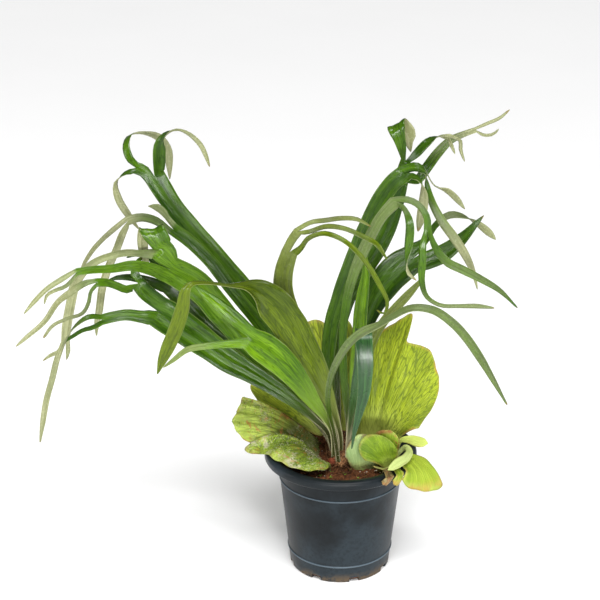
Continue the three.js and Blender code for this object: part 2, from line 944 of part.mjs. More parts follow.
// Grows one strap and all that it forks into. shared is the half row that it takes from its parent.
function growStrap(sheet, { spine, tines }, shared, swell, walked) {
  const start = shared && {
    place: sheet.places[shared[0]].clone().add(sheet.places[shared[1]]).multiplyScalar(0.5),
    half: sheet.places[shared[0]].distanceTo(sheet.places[shared[1]]) / 2,
    turn: spine[0].turn,
  };
  const stops = start ? [start, ...spine] : spine;
  const curve = new THREE.CatmullRomCurve3(stops.map((stop) => stop.place), false, "centripetal");
  const directions = acrossDirections(curve, stops);
  if (shared) directions[0] = sheet.places[shared[1]].clone().sub(sheet.places[shared[0]]).normalize();
  const halves = stops.map((stop) => stop.half);
  const length = curve.getLength();
  const steps = Math.max(2, stops.length - 1, Math.round(length / ROW_STEP));
  const widest = Math.max(...halves.slice(1));
  let row = shared;
  for (let step = shared ? 1 : 0; step <= steps; step++) {
    const t = curve.getUtoTmapping(step / steps);
    const run = curve.getTangent(t);
    const at = t * (stops.length - 1);
    const i = Math.min(Math.floor(at), stops.length - 2);
    const across = directions[i].clone().lerp(directions[i + 1], at - i);
    across.addScaledVector(run, -across.dot(run)).normalize();
    const face = across.clone().cross(run);
    const half = smoothValue(halves, t) + swell;
    const stalk = Math.exp(-(walked + (length * step) / steps) / STALK_TAPER_LENGTH);
    const thickness = THREE.MathUtils.lerp(BLADE_THICKNESS, STALK_THICKNESS, shared ? 0 : stalk);
    const middle = curve.getPoint(t);
    if (swell && !shared && step === 0) middle.addScaledVector(run, -swell);
    const isForkRow = tines.length > 0 && step === steps;
    const columns = isForkRow || widest > 4 || !shared ? 2 : 1;
    const next = [];
    for (let c = 0; c <= columns; c++) {
      const share = (2 * c) / columns - 1;
      const place = middle.clone().addScaledVector(across, share * half);
      place.addScaledVector(face, GUTTER * half * (Math.abs(share) - 0.5));
      next.push(sheet.add(place, face, thickness * (share === 0 ? 1 : EDGE_SHARE)));
    }
    if (row) sheet.join(row, next);
    row = next;
  }
  if (!tines.length) return;
  const halfRows = [row.slice(0, 2), row.slice(1)];
  const centre = (pair) => sheet.places[pair[0]].clone().add(sheet.places[pair[1]]).multiplyScalar(0.5);
  const reach = (pair, tine) => centre(pair).distanceTo(tine.spine[0].place);
  const straight = reach(halfRows[0], tines[0]) + reach(halfRows[1], tines[1]);
  const swapped = reach(halfRows[1], tines[0]) + reach(halfRows[0], tines[1]);
  if (swapped < straight) halfRows.reverse();
  tines.forEach((tine, k) => growStrap(sheet, tine, halfRows[k], swell, walked + length));
}

function antlerFrond(tree, swell = 0) {
  const sheet = new Sheet();
  growStrap(sheet, tree, null, swell, 0);
  return sheet.solid(swell);
}

// The way over the rim: up the inside, across the top and out, at a bearing that turns evenly.
function drapedPlace(start, end, out) {
  const radius = (point) => Math.hypot(point.x, point.y);
  const bearing = (point) => Math.atan2(point.y, point.x);
  const stops = [
    [radius(start), start.z],
    [RIM_INNER_RADIUS - 0.5, POT_HEIGHT + DRAPE_HEIGHT],
    [RIM_RADIUS + 1.8, POT_HEIGHT + DRAPE_HEIGHT - 0.7],
    [Math.max(radius(end), RIM_RADIUS + 2.5), end.z],
  ];
  const leg = Math.min(Math.floor(out * 3), 2);
  const share = out * 3 - leg;
  const distance = THREE.MathUtils.lerp(stops[leg][0], stops[leg + 1][0], share);
  const height = THREE.MathUtils.lerp(stops[leg][1], stops[leg + 1][1], share);
  const angle = THREE.MathUtils.lerp(bearing(start), bearing(end), out);
  const sag = leg === 2 ? DRAPE_BULGE * Math.sin(Math.PI * share) : 0;
  return new THREE.Vector3((distance + sag) * Math.cos(angle), (distance + sag) * Math.sin(angle), height + sag);
}

// The direction that a fan of places faces, on the side of the eye.
function fanDirection(middle, rim) {
  const facing = new THREE.Vector3();
  for (let k = 0; k < FAN_SAMPLES; k++) {
    const one = rim.getPoint(k / FAN_SAMPLES).sub(middle);
    const other = rim.getPoint((k + 1) / FAN_SAMPLES).sub(middle);
    facing.add(other.cross(one));
  }
  facing.normalize();
  return facing.dot(EYE.clone().sub(middle)) < 0 ? facing.negate() : facing;
}

// A shield frond's sheet: each column runs from the base line to the outline in one bow.
function shieldFrond({ base, outline, form }, swell = 0) {
  const { cup, rise, ripple, waves, ribs, draped, columns, rows, thickness } = form;
  const places = (stops) => stops.map((stop) => stop.place);
  const foot = new THREE.CatmullRomCurve3(places(base), false, "centripetal");
  const rim = new THREE.CatmullRomCurve3(places(outline), false, "centripetal");
  const facing = fanDirection(foot.getPoint(0.5), rim);
  const longest = Math.max(...rim.getPoints(columns).map((end) => end.distanceTo(foot.getPoint(0.5))));
  const grid = [];
  for (let i = 0; i <= rows; i++) {
    const out = i / rows;
    grid.push([]);
    for (let j = 0; j <= columns; j++) {
      const round = j / columns;
      const start = foot.getPoint(round);
      const end = rim.getPointAt(round);
      const share = start.distanceTo(end) / longest;
      const place = draped ? drapedPlace(start, end, out) : start.clone().lerp(end, out);
      const bow = 4 * out * (1 - out);
      const wave = out ** 3 * ripple * Math.sin(waves * 2 * Math.PI * round);
      place.addScaledVector(facing, bow * cup * share + wave);
      place.z += bow * rise;
      grid[i].push(place);
    }
  }
  const sheet = new Sheet();
  const indices = grid.map((row, i) =>
    row.map((place, j) => {
      const outwards = grid[Math.min(rows, i + 1)][j].clone().sub(grid[Math.max(0, i - 1)][j]).normalize();
      const onwards = row[Math.min(columns, j + 1)].clone().sub(row[Math.max(0, j - 1)]).normalize();
      const face = outwards.clone().cross(onwards).normalize();
      const rib = (j % 2 ? ribs : -ribs) * Math.sin(Math.PI * (i / rows)) ** 2;
      const stretched = place.clone().addScaledVector(face, rib);
      if (i === 0) stretched.addScaledVector(outwards, -swell);
      const sideways = face.clone().cross(outwards);
      if (j === 0) stretched.addScaledVector(sideways, -swell);
      if (j === columns) stretched.addScaledVector(sideways, swell);
      return sheet.add(stretched, face, thickness * THREE.MathUtils.lerp(1.3, EDGE_SHARE, i / rows));
    }),
  );
  indices.slice(1).forEach((row, i) => sheet.join(row, indices[i]));
  return sheet.solid(swell);
}

// Booleans
function toManifold(geometry) {
  const bare = new THREE.BufferGeometry().setAttribute("position", geometry.getAttribute("position").clone());
  bare.setIndex(geometry.index ? geometry.index.clone() : null);
  const merged = mergeVertices(bare, 1e-4);
  return new wasm.Manifold(
    new wasm.Mesh({
      numProp: 3,
      vertProperties: new Float32Array(merged.attributes.position.array),
      triVerts: new Uint32Array(merged.index.array),
    }),
  );
}

// The largest body of a solid, as a geometry: scraps that a cut leaves loose are dropped.
function largestBody(solid) {
  const bodies = solid.simplify(CUT_TOLERANCE).decompose().sort((a, b) => b.volume() - a.volume());
  const mesh = bodies[0].getMesh();
  const position = new Float32Array(mesh.numVert * 3);
  for (let i = 0; i < mesh.numVert; i++) {
    position.set(mesh.vertProperties.subarray(i * mesh.numProp, i * mesh.numProp + 3), i * 3);
  }
  const geometry = new THREE.BufferGeometry().setAttribute("position", new THREE.BufferAttribute(position, 3));
  geometry.setIndex(new THREE.BufferAttribute(mesh.triVerts, 1));
  return geometry;
}

function cutAll(geometry, cutters) {
  return largestBody(cutters.reduce((solid, cutter) => solid.subtract(toManifold(cutter)), toManifold(geometry)));
}

// Turns a profile of [radius, height] pairs, outside first and from the axis to the axis.
function turned(profile, sides) {
  const points = profile.map(([radius, height]) => new THREE.Vector2(radius, height));
  const geometry = new THREE.LatheGeometry(points, sides);
  geometry.rotateX(Math.PI / 2);
  return geometry;
}

function bodyRadius(height) {
  return BODY_FOOT_RADIUS + ((BODY_TOP_RADIUS - BODY_FOOT_RADIUS) * height) / (POT_HEIGHT - RIM_DEPTH);
}

function potProfile() {
  const lip = POT_HEIGHT - RIM_DEPTH;
  const rings = RING_HEIGHTS.flatMap((height) => [
    [bodyRadius(height - 1.2), height - 1.2],
    [bodyRadius(height) + RING_RISE, height - 0.4],
    [bodyRadius(height) + RING_RISE, height + 0.4],
    [bodyRadius(height + 1.2), height + 1.2],
  ]);
  return [
    [0, 0],
    [BODY_FOOT_RADIUS - 1, 0],
    [BODY_FOOT_RADIUS, 1],
    ...rings,
    [BODY_TOP_RADIUS, lip],
    [RIM_RADIUS - 2, lip + 0.6],
    [RIM_RADIUS, lip + 2.4],
    [RIM_RADIUS, POT_HEIGHT - 3],
    [RIM_RADIUS - 1.6, POT_HEIGHT - 0.8],
    [RIM_RADIUS - 4, POT_HEIGHT],
    [RIM_INNER_RADIUS + 1, POT_HEIGHT - 0.6],
    [RIM_INNER_RADIUS - 1, POT_HEIGHT - 2.6],
    [bodyRadius(lip) - POT_WALL, lip - 3],
    [bodyRadius(POT_FLOOR) - POT_WALL, POT_FLOOR],
    [0, POT_FLOOR],
  ];
}

function potGeometry() {
  const notches = [];
  for (let k = 0; k < DRAIN_NOTCHES; k++) {
    const notch = new THREE.BoxGeometry(NOTCH_REACH * 2, NOTCH_WIDTH, NOTCH_HEIGHT * 2);
    notch.translate(BODY_FOOT_RADIUS, 0, 0);
    notch.rotateZ(((k + 0.35) * 2 * Math.PI) / DRAIN_NOTCHES);
    notches.push(notch);
  }
  return cutAll(turned(potProfile(), POT_SIDES), notches);
}

// The soil fills the pot to a rough top. It stands clear of the wall and of the notches.
function soilGeometry() {
  const floor = POT_FLOOR + CLEARANCE;
  const inner = (height) => bodyRadius(height) - POT_WALL - 2 * CLEARANCE;
  const profile = [
    [0, floor],
    [BODY_FOOT_RADIUS - NOTCH_REACH - 1, floor],
    [BODY_FOOT_RADIUS - NOTCH_REACH - 1, NOTCH_HEIGHT + 1],
    [inner(NOTCH_HEIGHT + 1), NOTCH_HEIGHT + 1],
    [inner(SOIL_LEVEL - 4), SOIL_LEVEL - 4],
    [inner(SOIL_LEVEL) - 1.2, SOIL_LEVEL - 1],
  ];
  for (let ring = SOIL_RINGS; ring >= 0; ring--) {
    profile.push([((inner(SOIL_LEVEL) - 4) * ring) / SOIL_RINGS, SOIL_LEVEL]);
  }
  const geometry = turned(profile, SOIL_SIDES);
  const position = geometry.getAttribute("position");
  for (let i = 0; i < position.count; i++) {
    if (position.getZ(i) < SOIL_LEVEL - 0.5) continue;
    const x = position.getX(i);
    const y = position.getY(i);
    const lump = Math.sin(0.41 * x + 0.3) * Math.cos(0.37 * y) + 0.6 * Math.sin(0.93 * x - 0.71 * y);
    position.setZ(i, SOIL_LEVEL + SOIL_ROUGHNESS * lump);
  }
  return geometry;
}

// The crown: a long scaly body with a bud at its front and thick roots that enter the soil.
function crownGeometry(swell = 0) {
  const body = new THREE.IcosahedronGeometry(1, 3);
  const position = body.getAttribute("position");
  const half = CROWN_HALF.clone().addScalar(swell);
  for (let i = 0; i < position.count; i++) {
    const point = new THREE.Vector3().fromBufferAttribute(position, i);
    const scale = 1 + 0.05 * Math.sin(9 * point.x + 2) * Math.sin(11 * point.y) + 0.04 * Math.sin(13 * point.z);
    point.multiplyScalar(scale).multiply(half).add(CROWN_CENTRE);
    position.setXYZ(i, point.x, point.y, point.z);
  }
  let solid = toManifold(body);
  const bud = new THREE.SphereGeometry(BUD_RADIUS + swell, 10, 8);
  bud.translate(-9, -17, 116);
  solid = solid.add(toManifold(bud));
  for (const [x, y, slant] of ROOTS) {
    const root = new THREE.CylinderGeometry(0.8 + swell, ROOT_RADIUS + swell, ROOT_LENGTH + 2 * swell, 7);
    root.rotateX(-Math.PI / 2);
    root.rotateY(THREE.MathUtils.degToRad(-slant));
    root.translate(x, y, 108);
    solid = solid.add(toManifold(root));
  }
  return largestBody(solid);
}

const ANTLER_FRONDS = {
  frond_left_front: [frontLeft, 0x5f9a2b],
  frond_left_crest: [crestLeft, 0x55762a],
  frond_left_broad: [broadLeft, 0x2f5d1d],
  frond_left_arched: [archedLeft, 0x4f8a2c],
  frond_left_dark: [darkLeft, 0x27511b],
  frond_left_wispy: [wispyLeft, 0x4a7a33],
  frond_left_tall: [tallLeft, 0x2f6f27],
  frond_middle_arch: [archMiddle, 0x5b7f38],
  frond_right_front: [frontRight, 0x4c6f3a],
  frond_right_hanging: [hangingRight, 0x2d6334],
  frond_right_star: [starRight, 0x3a7a2c],
  frond_right_upright: [uprightRight, 0x4c7a1f],
  frond_right_tall: [tallRight, 0x3c7d2d],
  frond_right_low: [lowRight, 0x4f6a28],
  frond_right_dark: [darkRight, 0x2f6324],
  frond_right_highest: [highestRight, 0x336a2b],
};

const OFFSET_STRAPS = {
  offset_pointed: [offsetPointed, 0xb9cc92],
  offset_lobe: [offsetLobe, 0xc0cd55],
};

const SHIELD_FRONDS = {
  shield_right: [shieldRight, 0xa9b83a],
  shield_back: [shieldBack, 0x98a531],
  shield_left: [shieldLeft, 0x9dae4a],
  shield_mossy: [shieldMossy, 0x7f9a2e],
  offset_disc: [offsetDisc, 0xa3bf7d],
  offset_pad: [offsetPad, 0x8fb04e],
  offset_curl: [offsetCurl, 0xb4c66a],
  offset_under: [offsetUnder, 0x8cab45],
  offset_tongue: [offsetTongue, 0xb5c95a],
  strip_dry: [dryStrip, 0xa9805c],
  strip_green: [greenStrip, 0xb1bd6a],
};

const part = new THREE.Group();

function addPiece(name, geometry, color, roughness) {
  const mesh = new THREE.Mesh(geometry, new THREE.MeshStandardMaterial({ color, roughness, metalness: 0 }));
  mesh.name = name;
  part.add(mesh);
}

for (const [name, [tree, color]] of Object.entries(ANTLER_FRONDS)) {
  addPiece(name, antlerFrond(tree), color, 0.45);
}
for (const [name, [tree, color]] of Object.entries(OFFSET_STRAPS)) {
  addPiece(name, antlerFrond(tree), color, 0.6);
}
for (const [name, [sheet, color]] of Object.entries(SHIELD_FRONDS)) {
  addPiece(name, shieldFrond(sheet), color, 0.6);
}

const stalkSockets = Object.values(ANTLER_FRONDS).map(([tree]) => antlerFrond(tree, CLEARANCE));
const offsetSockets = Object.values(OFFSET_STRAPS).map(([tree]) => antlerFrond(tree, SOIL_CLEARANCE));
const shieldSlots = Object.values(SHIELD_FRONDS).map(([sheet]) => shieldFrond(sheet, SOIL_CLEARANCE));
const soilCutters = [crownGeometry(SOIL_CLEARANCE), ...shieldSlots, ...offsetSockets];

addPiece("pot", potGeometry(), 0x23262a, 0.5);
addPiece("potting_mix", cutAll(soilGeometry(), soilCutters), 0x5a3624, 0.95);
addPiece("rhizome", cutAll(crownGeometry(), [...stalkSockets, ...shieldSlots]), 0x4a3424, 0.9);

export default part;
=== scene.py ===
"""Looks of a staghorn fern in a round nursery pot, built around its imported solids.

Everything is in metres in the solids' own frame: +Z is up, the front is -Y, and the origin is the
centre of the pot's underside. The place tables are in millimetres, as they are in the part's source.
"""

import logging
import math
import random
from dataclasses import dataclass, field, replace
from enum import Enum
from typing import Optional, Sequence, Union

import bpy
from mathutils import Matrix, Vector, noise


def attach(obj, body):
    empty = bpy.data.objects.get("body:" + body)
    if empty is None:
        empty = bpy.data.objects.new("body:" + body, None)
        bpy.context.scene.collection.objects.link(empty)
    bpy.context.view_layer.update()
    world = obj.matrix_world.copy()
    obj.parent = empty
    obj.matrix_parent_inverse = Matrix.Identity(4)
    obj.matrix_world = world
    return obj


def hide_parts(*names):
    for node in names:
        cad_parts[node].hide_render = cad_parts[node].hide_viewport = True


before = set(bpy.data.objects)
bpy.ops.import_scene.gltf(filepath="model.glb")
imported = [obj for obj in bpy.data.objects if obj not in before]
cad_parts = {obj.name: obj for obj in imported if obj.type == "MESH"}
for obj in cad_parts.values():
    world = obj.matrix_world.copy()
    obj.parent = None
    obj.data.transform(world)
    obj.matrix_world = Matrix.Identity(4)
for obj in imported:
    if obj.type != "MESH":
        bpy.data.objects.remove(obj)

LOG = logging.getLogger("fern")

MM = 0.001
EYE = Vector((-40.0, -1397.0, 839.0))
EYE_TILT = 21.8
LENS = 95.1
CROWN_CENTRE = Vector((0.0, 13.0, 114.0))
CROWN_HALF = Vector((14.0, 36.0, 13.0))
LEAN_SHARE = 0.9
LEAN_FROM = 150.0
LEAN_HEIGHT = 260.0
BLADE_THICKNESS = 1.15
STALK_THICKNESS = 3.1
STALK_TAPER_LENGTH = 60.0
GUTTER = 0.13


def clamp(value: float, low: float = 0.0, high: float = 1.0) -> float:
    """Returns value held between low and high."""
    return max(low, min(high, value))


def lerp(a: float, b: float, share: float) -> float:
    """Returns the value that lies share of the way from a to b."""
    return a + (b - a) * share


def smoothstep(low: float, high: float, value: float) -> float:
    """Returns 0 below low, 1 above high and a smooth rise between them."""
    t = clamp((value - low) / (high - low))
    return t * t * (3 - 2 * t)


@dataclass(frozen=True)
class Stop:
    """A place on a leaf: half its width, its turn or its own direction across, and how pale it shows."""

    place: Vector
    half: float = 0.0
    turn: float = 0.0
    pale: float = 0.0
    across: Optional[Vector] = None


def seen(x: float, z: float, depth: float, half: float = 0.0, turn: float = 0.0, pale: float = 0.0) -> Stop:
    """Places a stop along the line of sight through x, z of the upright plane y = 0.

    Args:
        x: Distance to the right on that plane.
        z: Height on that plane.
        depth: The stop's own y before the plant's lean.
        half: Half the width as it is seen.
        turn: Degrees that the blade is turned; at 0 its upper face looks at the eye.
        pale: How much of the pale underside shows on the side of the eye, from 0 to 1.

    Returns:
        The stop in the part's frame, in millimetres.
    """
    lean = 1 + LEAN_SHARE * clamp((z - LEAN_FROM) / LEAN_HEIGHT)
    leaned = CROWN_CENTRE.y + (depth - CROWN_CENTRE.y) * lean
    share = (leaned - EYE.y) / -EYE.y
    place = Vector((EYE.x + (x - EYE.x) * share, leaned, EYE.z + (z - EYE.z) * share))
    return Stop(place, half * share, turn, pale)


def grown(x: float, y: float, z: float, half: float = 0.0, turn: float = 0.0) -> Stop:
    """Places a stop given in the part's own frame, in millimetres."""
    return Stop(Vector((x, y, z)), half, turn)


Row = Union[Stop, tuple[float, ...]]


def held_across(x: float, y: float, z: float, rows: Sequence[Row]) -> list[Stop]:
    """Returns the stops with the blade's width held along one direction, where the blade folds over."""
    across = Vector((x, y, z)).normalized()
    return [replace(stop, across=across) for stop in stops_of(rows)]


def stops_of(rows: Sequence[Row]) -> list[Stop]:
    """Returns a table's stops, where a plain row is one for seen."""
    return [row if isinstance(row, Stop) else seen(*row) for row in rows]


@dataclass(frozen=True)
class Strap:
    """A strap of leaf and the straps that its end forks into."""

    spine: tuple[Stop, ...]
    tines: tuple["Strap", ...] = ()


def strap(spine: Sequence[Row], *tines: Strap) -> Strap:
    """Returns a strap from its stops and its tines."""
    return Strap(tuple(stops_of(spine)), tines)


@dataclass(frozen=True)
class Form:
    """How a fan of leaf is bowed, waved and ribbed, and how thick it is."""

    cup: float = 0.0
    rise: float = 0.0
    ripple: float = 0.3
    waves: float = 3
    ribs: float = 0.0
    draped: bool = False
    columns: int = 10
    thickness: float = 1.3


@dataclass(frozen=True)
class Fan:
    """A fan of leaf that spreads from a short base line to its outline."""

    base: tuple[Stop, ...]
    outline: tuple[Stop, ...]
    form: Form


def shield(base: Sequence[Row], outline: Sequence[Row], form: Form) -> Fan:
    """Returns a fan from its base line, its outline and its form."""
    return Fan(tuple(stops_of(base)), tuple(stops_of(outline)), form)


class Course:
    """A smooth centripetal course through points, walked by parameter or by length."""

    DIVISIONS = 200

    def __init__(self, points: Sequence[Vector]) -> None:
        """Keeps the points and measures the course.

        Args:
            points: The places that the course passes through.
        """
        self.points = [point.copy() for point in points]
        self.lengths = [0.0]
        last = self.point(0.0)
        for k in range(1, self.DIVISIONS + 1):
            here = self.point(k / self.DIVISIONS)
            self.lengths.append(self.lengths[-1] + (here - last).length)
            last = here

    @property
    def length(self) -> float:
        """The course's whole length."""
        return self.lengths[-1]

    def point(self, t: float) -> Vector:
        """Returns the place at parameter t, from 0 to 1.

        Args:
            t: The parameter, 0 at the first point and 1 at the last.

        Returns:
            The place.
        """
        points = self.points
        last = len(points) - 1
        i = min(int(last * t), last - 1)
        weight = last * t - i
        here, there = points[i], points[i + 1]
        before = points[i - 1] if i > 0 else here * 2 - there
        after = points[i + 2] if i + 2 <= last else there * 2 - here
        mid = max((there - here).length ** 0.5, 1e-4)
        low = (here - before).length ** 0.5 or mid
        high = (after - there).length ** 0.5 or mid
        enter = ((here - before) / low - (there - before) / (low + mid) + (there - here) / mid) * mid
        leave = ((there - here) / mid - (after - here) / (mid + high) + (after - there) / high) * mid
        square, cube = weight**2, weight**3
        return (
            here
            + enter * weight
            + ((there - here) * 3 - enter * 2 - leave) * square
            + ((here - there) * 2 + enter + leave) * cube
        )

    def tangent(self, t: float) -> Vector:
        """Returns the unit direction of the course at parameter t."""
        low, high = max(0.0, t - 1e-4), min(1.0, t + 1e-4)
        return (self.point(high) - self.point(low)).normalized()

    def walked(self, share: float) -> float:
        """Returns the parameter at a share of the course's length.

        Args:
            share: The share, from 0 to 1.

        Returns:
            The parameter, from 0 to 1.
        """
        target = share * self.length
        low, high = 0, self.DIVISIONS
        while low < high:
            middle = (low + high) // 2
            if self.lengths[middle] < target:
                low = middle + 1
            else:
                high = middle
        i = max(0, low - 1)
        step = self.lengths[min(i + 1, self.DIVISIONS)] - self.lengths[i]
        inside = (target - self.lengths[i]) / step if step > 0 else 0.0
        return clamp((i + inside) / self.DIVISIONS)


def smooth_value(values: Sequence[float], t: float) -> float:
    """Returns a smooth value through evenly spaced values.

    Args:
        values: The values, the first at t = 0 and the last at t = 1.
        t: Where to read, from 0 to 1.

    Returns:
        The value there, which stays between its neighbours at a peak.
    """
    last = len(values) - 1
    i = min(int(last * t), last - 1)
    w = last * t - i
    a, b = values[i], values[i + 1]
    before = values[i - 1] if i > 0 else a
    after = values[i + 2] if i + 2 <= last else b
    enter = (b - before) / 2 if (b - a) * (a - before) > 0 else 0.0
    leave = (after - a) / 2 if (after - b) * (b - a) > 0 else 0.0
    return a + enter * w + (3 * (b - a) - 2 * enter - leave) * w**2 + (2 * (a - b) + enter + leave) * w**3


def linked(obj: bpy.types.Object) -> bpy.types.Object:
    """Links an object to the scene and returns it."""
    bpy.context.scene.collection.objects.link(obj)
    return obj


def piece(name: str, places: Sequence[Vector], polygons: Sequence[tuple[int, ...]],
          *materials: bpy.types.Material) -> bpy.types.Object:
    """Makes a smooth-shaded mesh into an object of the scene.

    Args:
        name: The object's name.
        places: Its places, in metres.
        polygons: Its faces, as numbers of places.
        *materials: Its finishes.

    Returns:
        The object.
    """
    mesh = bpy.data.meshes.new(name)
    mesh.from_pydata(places, [], polygons)
    mesh.polygons.foreach_set("use_smooth", [True] * len(mesh.polygons))
    for material in materials:
        mesh.materials.append(material)
    mesh.update()
    return linked(bpy.data.objects.new(name, mesh))


@dataclass
class Sheet:
    """A sheet of leaf: places on its middle surface, their facings and thicknesses, and its cells."""

    places: list[Vector] = field(default_factory=list)
    facings: list[Vector] = field(default_factory=list)
    thicknesses: list[float] = field(default_factory=list)
    marks: dict[str, list[float]] = field(default_factory=dict)
    cells: list[tuple[int, ...]] = field(default_factory=list)

    def add(self, place: Vector, facing: Vector, thickness: float, **marks: float) -> int:
        """Adds a place.

        Args:
            place: Where it is, in millimetres.
            facing: The way its upper face looks.
            thickness: The sheet's thickness there.
            **marks: Values that the finishes read, by name.

        Returns:
            The place's number.
        """
        self.places.append(place)
        self.facings.append(facing)
        self.thicknesses.append(thickness)
        for name, value in marks.items():
            self.marks.setdefault(name, []).append(value)
        return len(self.places) - 1

    def join(self, row: Sequence[int], following: Sequence[int]) -> None:
        """Joins two rows of as many places with cells."""
        for i in range(len(row) - 1):
            self.cells.append((row[i], row[i + 1], following[i + 1], following[i]))

    def build(self, name: str, *sides: bpy.types.Material) -> bpy.types.Object:
        """Makes the closed thick piece of the sheet.

        Args:
            name: The piece's name.
            *sides: The finish of its upper face, and that of its underside and edge.

        Returns:
            The piece.
        """
        count = len(self.places)
        upper, lower = [], []
        for place, facing, thickness in zip(self.places, self.facings, self.thicknesses):
            offset = facing * (thickness / 2)
            upper.append((place + offset) * MM)
            lower.append((place - offset) * MM)
        directed = set()
        for cell in self.cells:
            directed.update(zip(cell, cell[1:] + cell[:1]))
        walls = [
            (there, here, count + here, count + there)
            for here, there in directed
            if (there, here) not in directed
        ]
        under = [tuple(count + i for i in reversed(cell)) for cell in self.cells]
        polygons = [*self.cells, *under, *sorted(walls)]
        obj = piece(name, upper + lower, polygons, *sides)
        is_lower = [int(i >= len(self.cells)) for i in range(len(polygons))]
        obj.data.polygons.foreach_set("material_index", is_lower)
        for mark, values in self.marks.items():
            attribute = obj.data.attributes.new(mark, "FLOAT", "POINT")
            attribute.data.foreach_set("value", values + values)
        obj.data.update()
        return obj


def waver(x: float, seed: float) -> float:
    """Returns a smooth random value from about -1 to 1 along a line."""
    return noise.noise(Vector((x, seed, 0.37 * seed)))


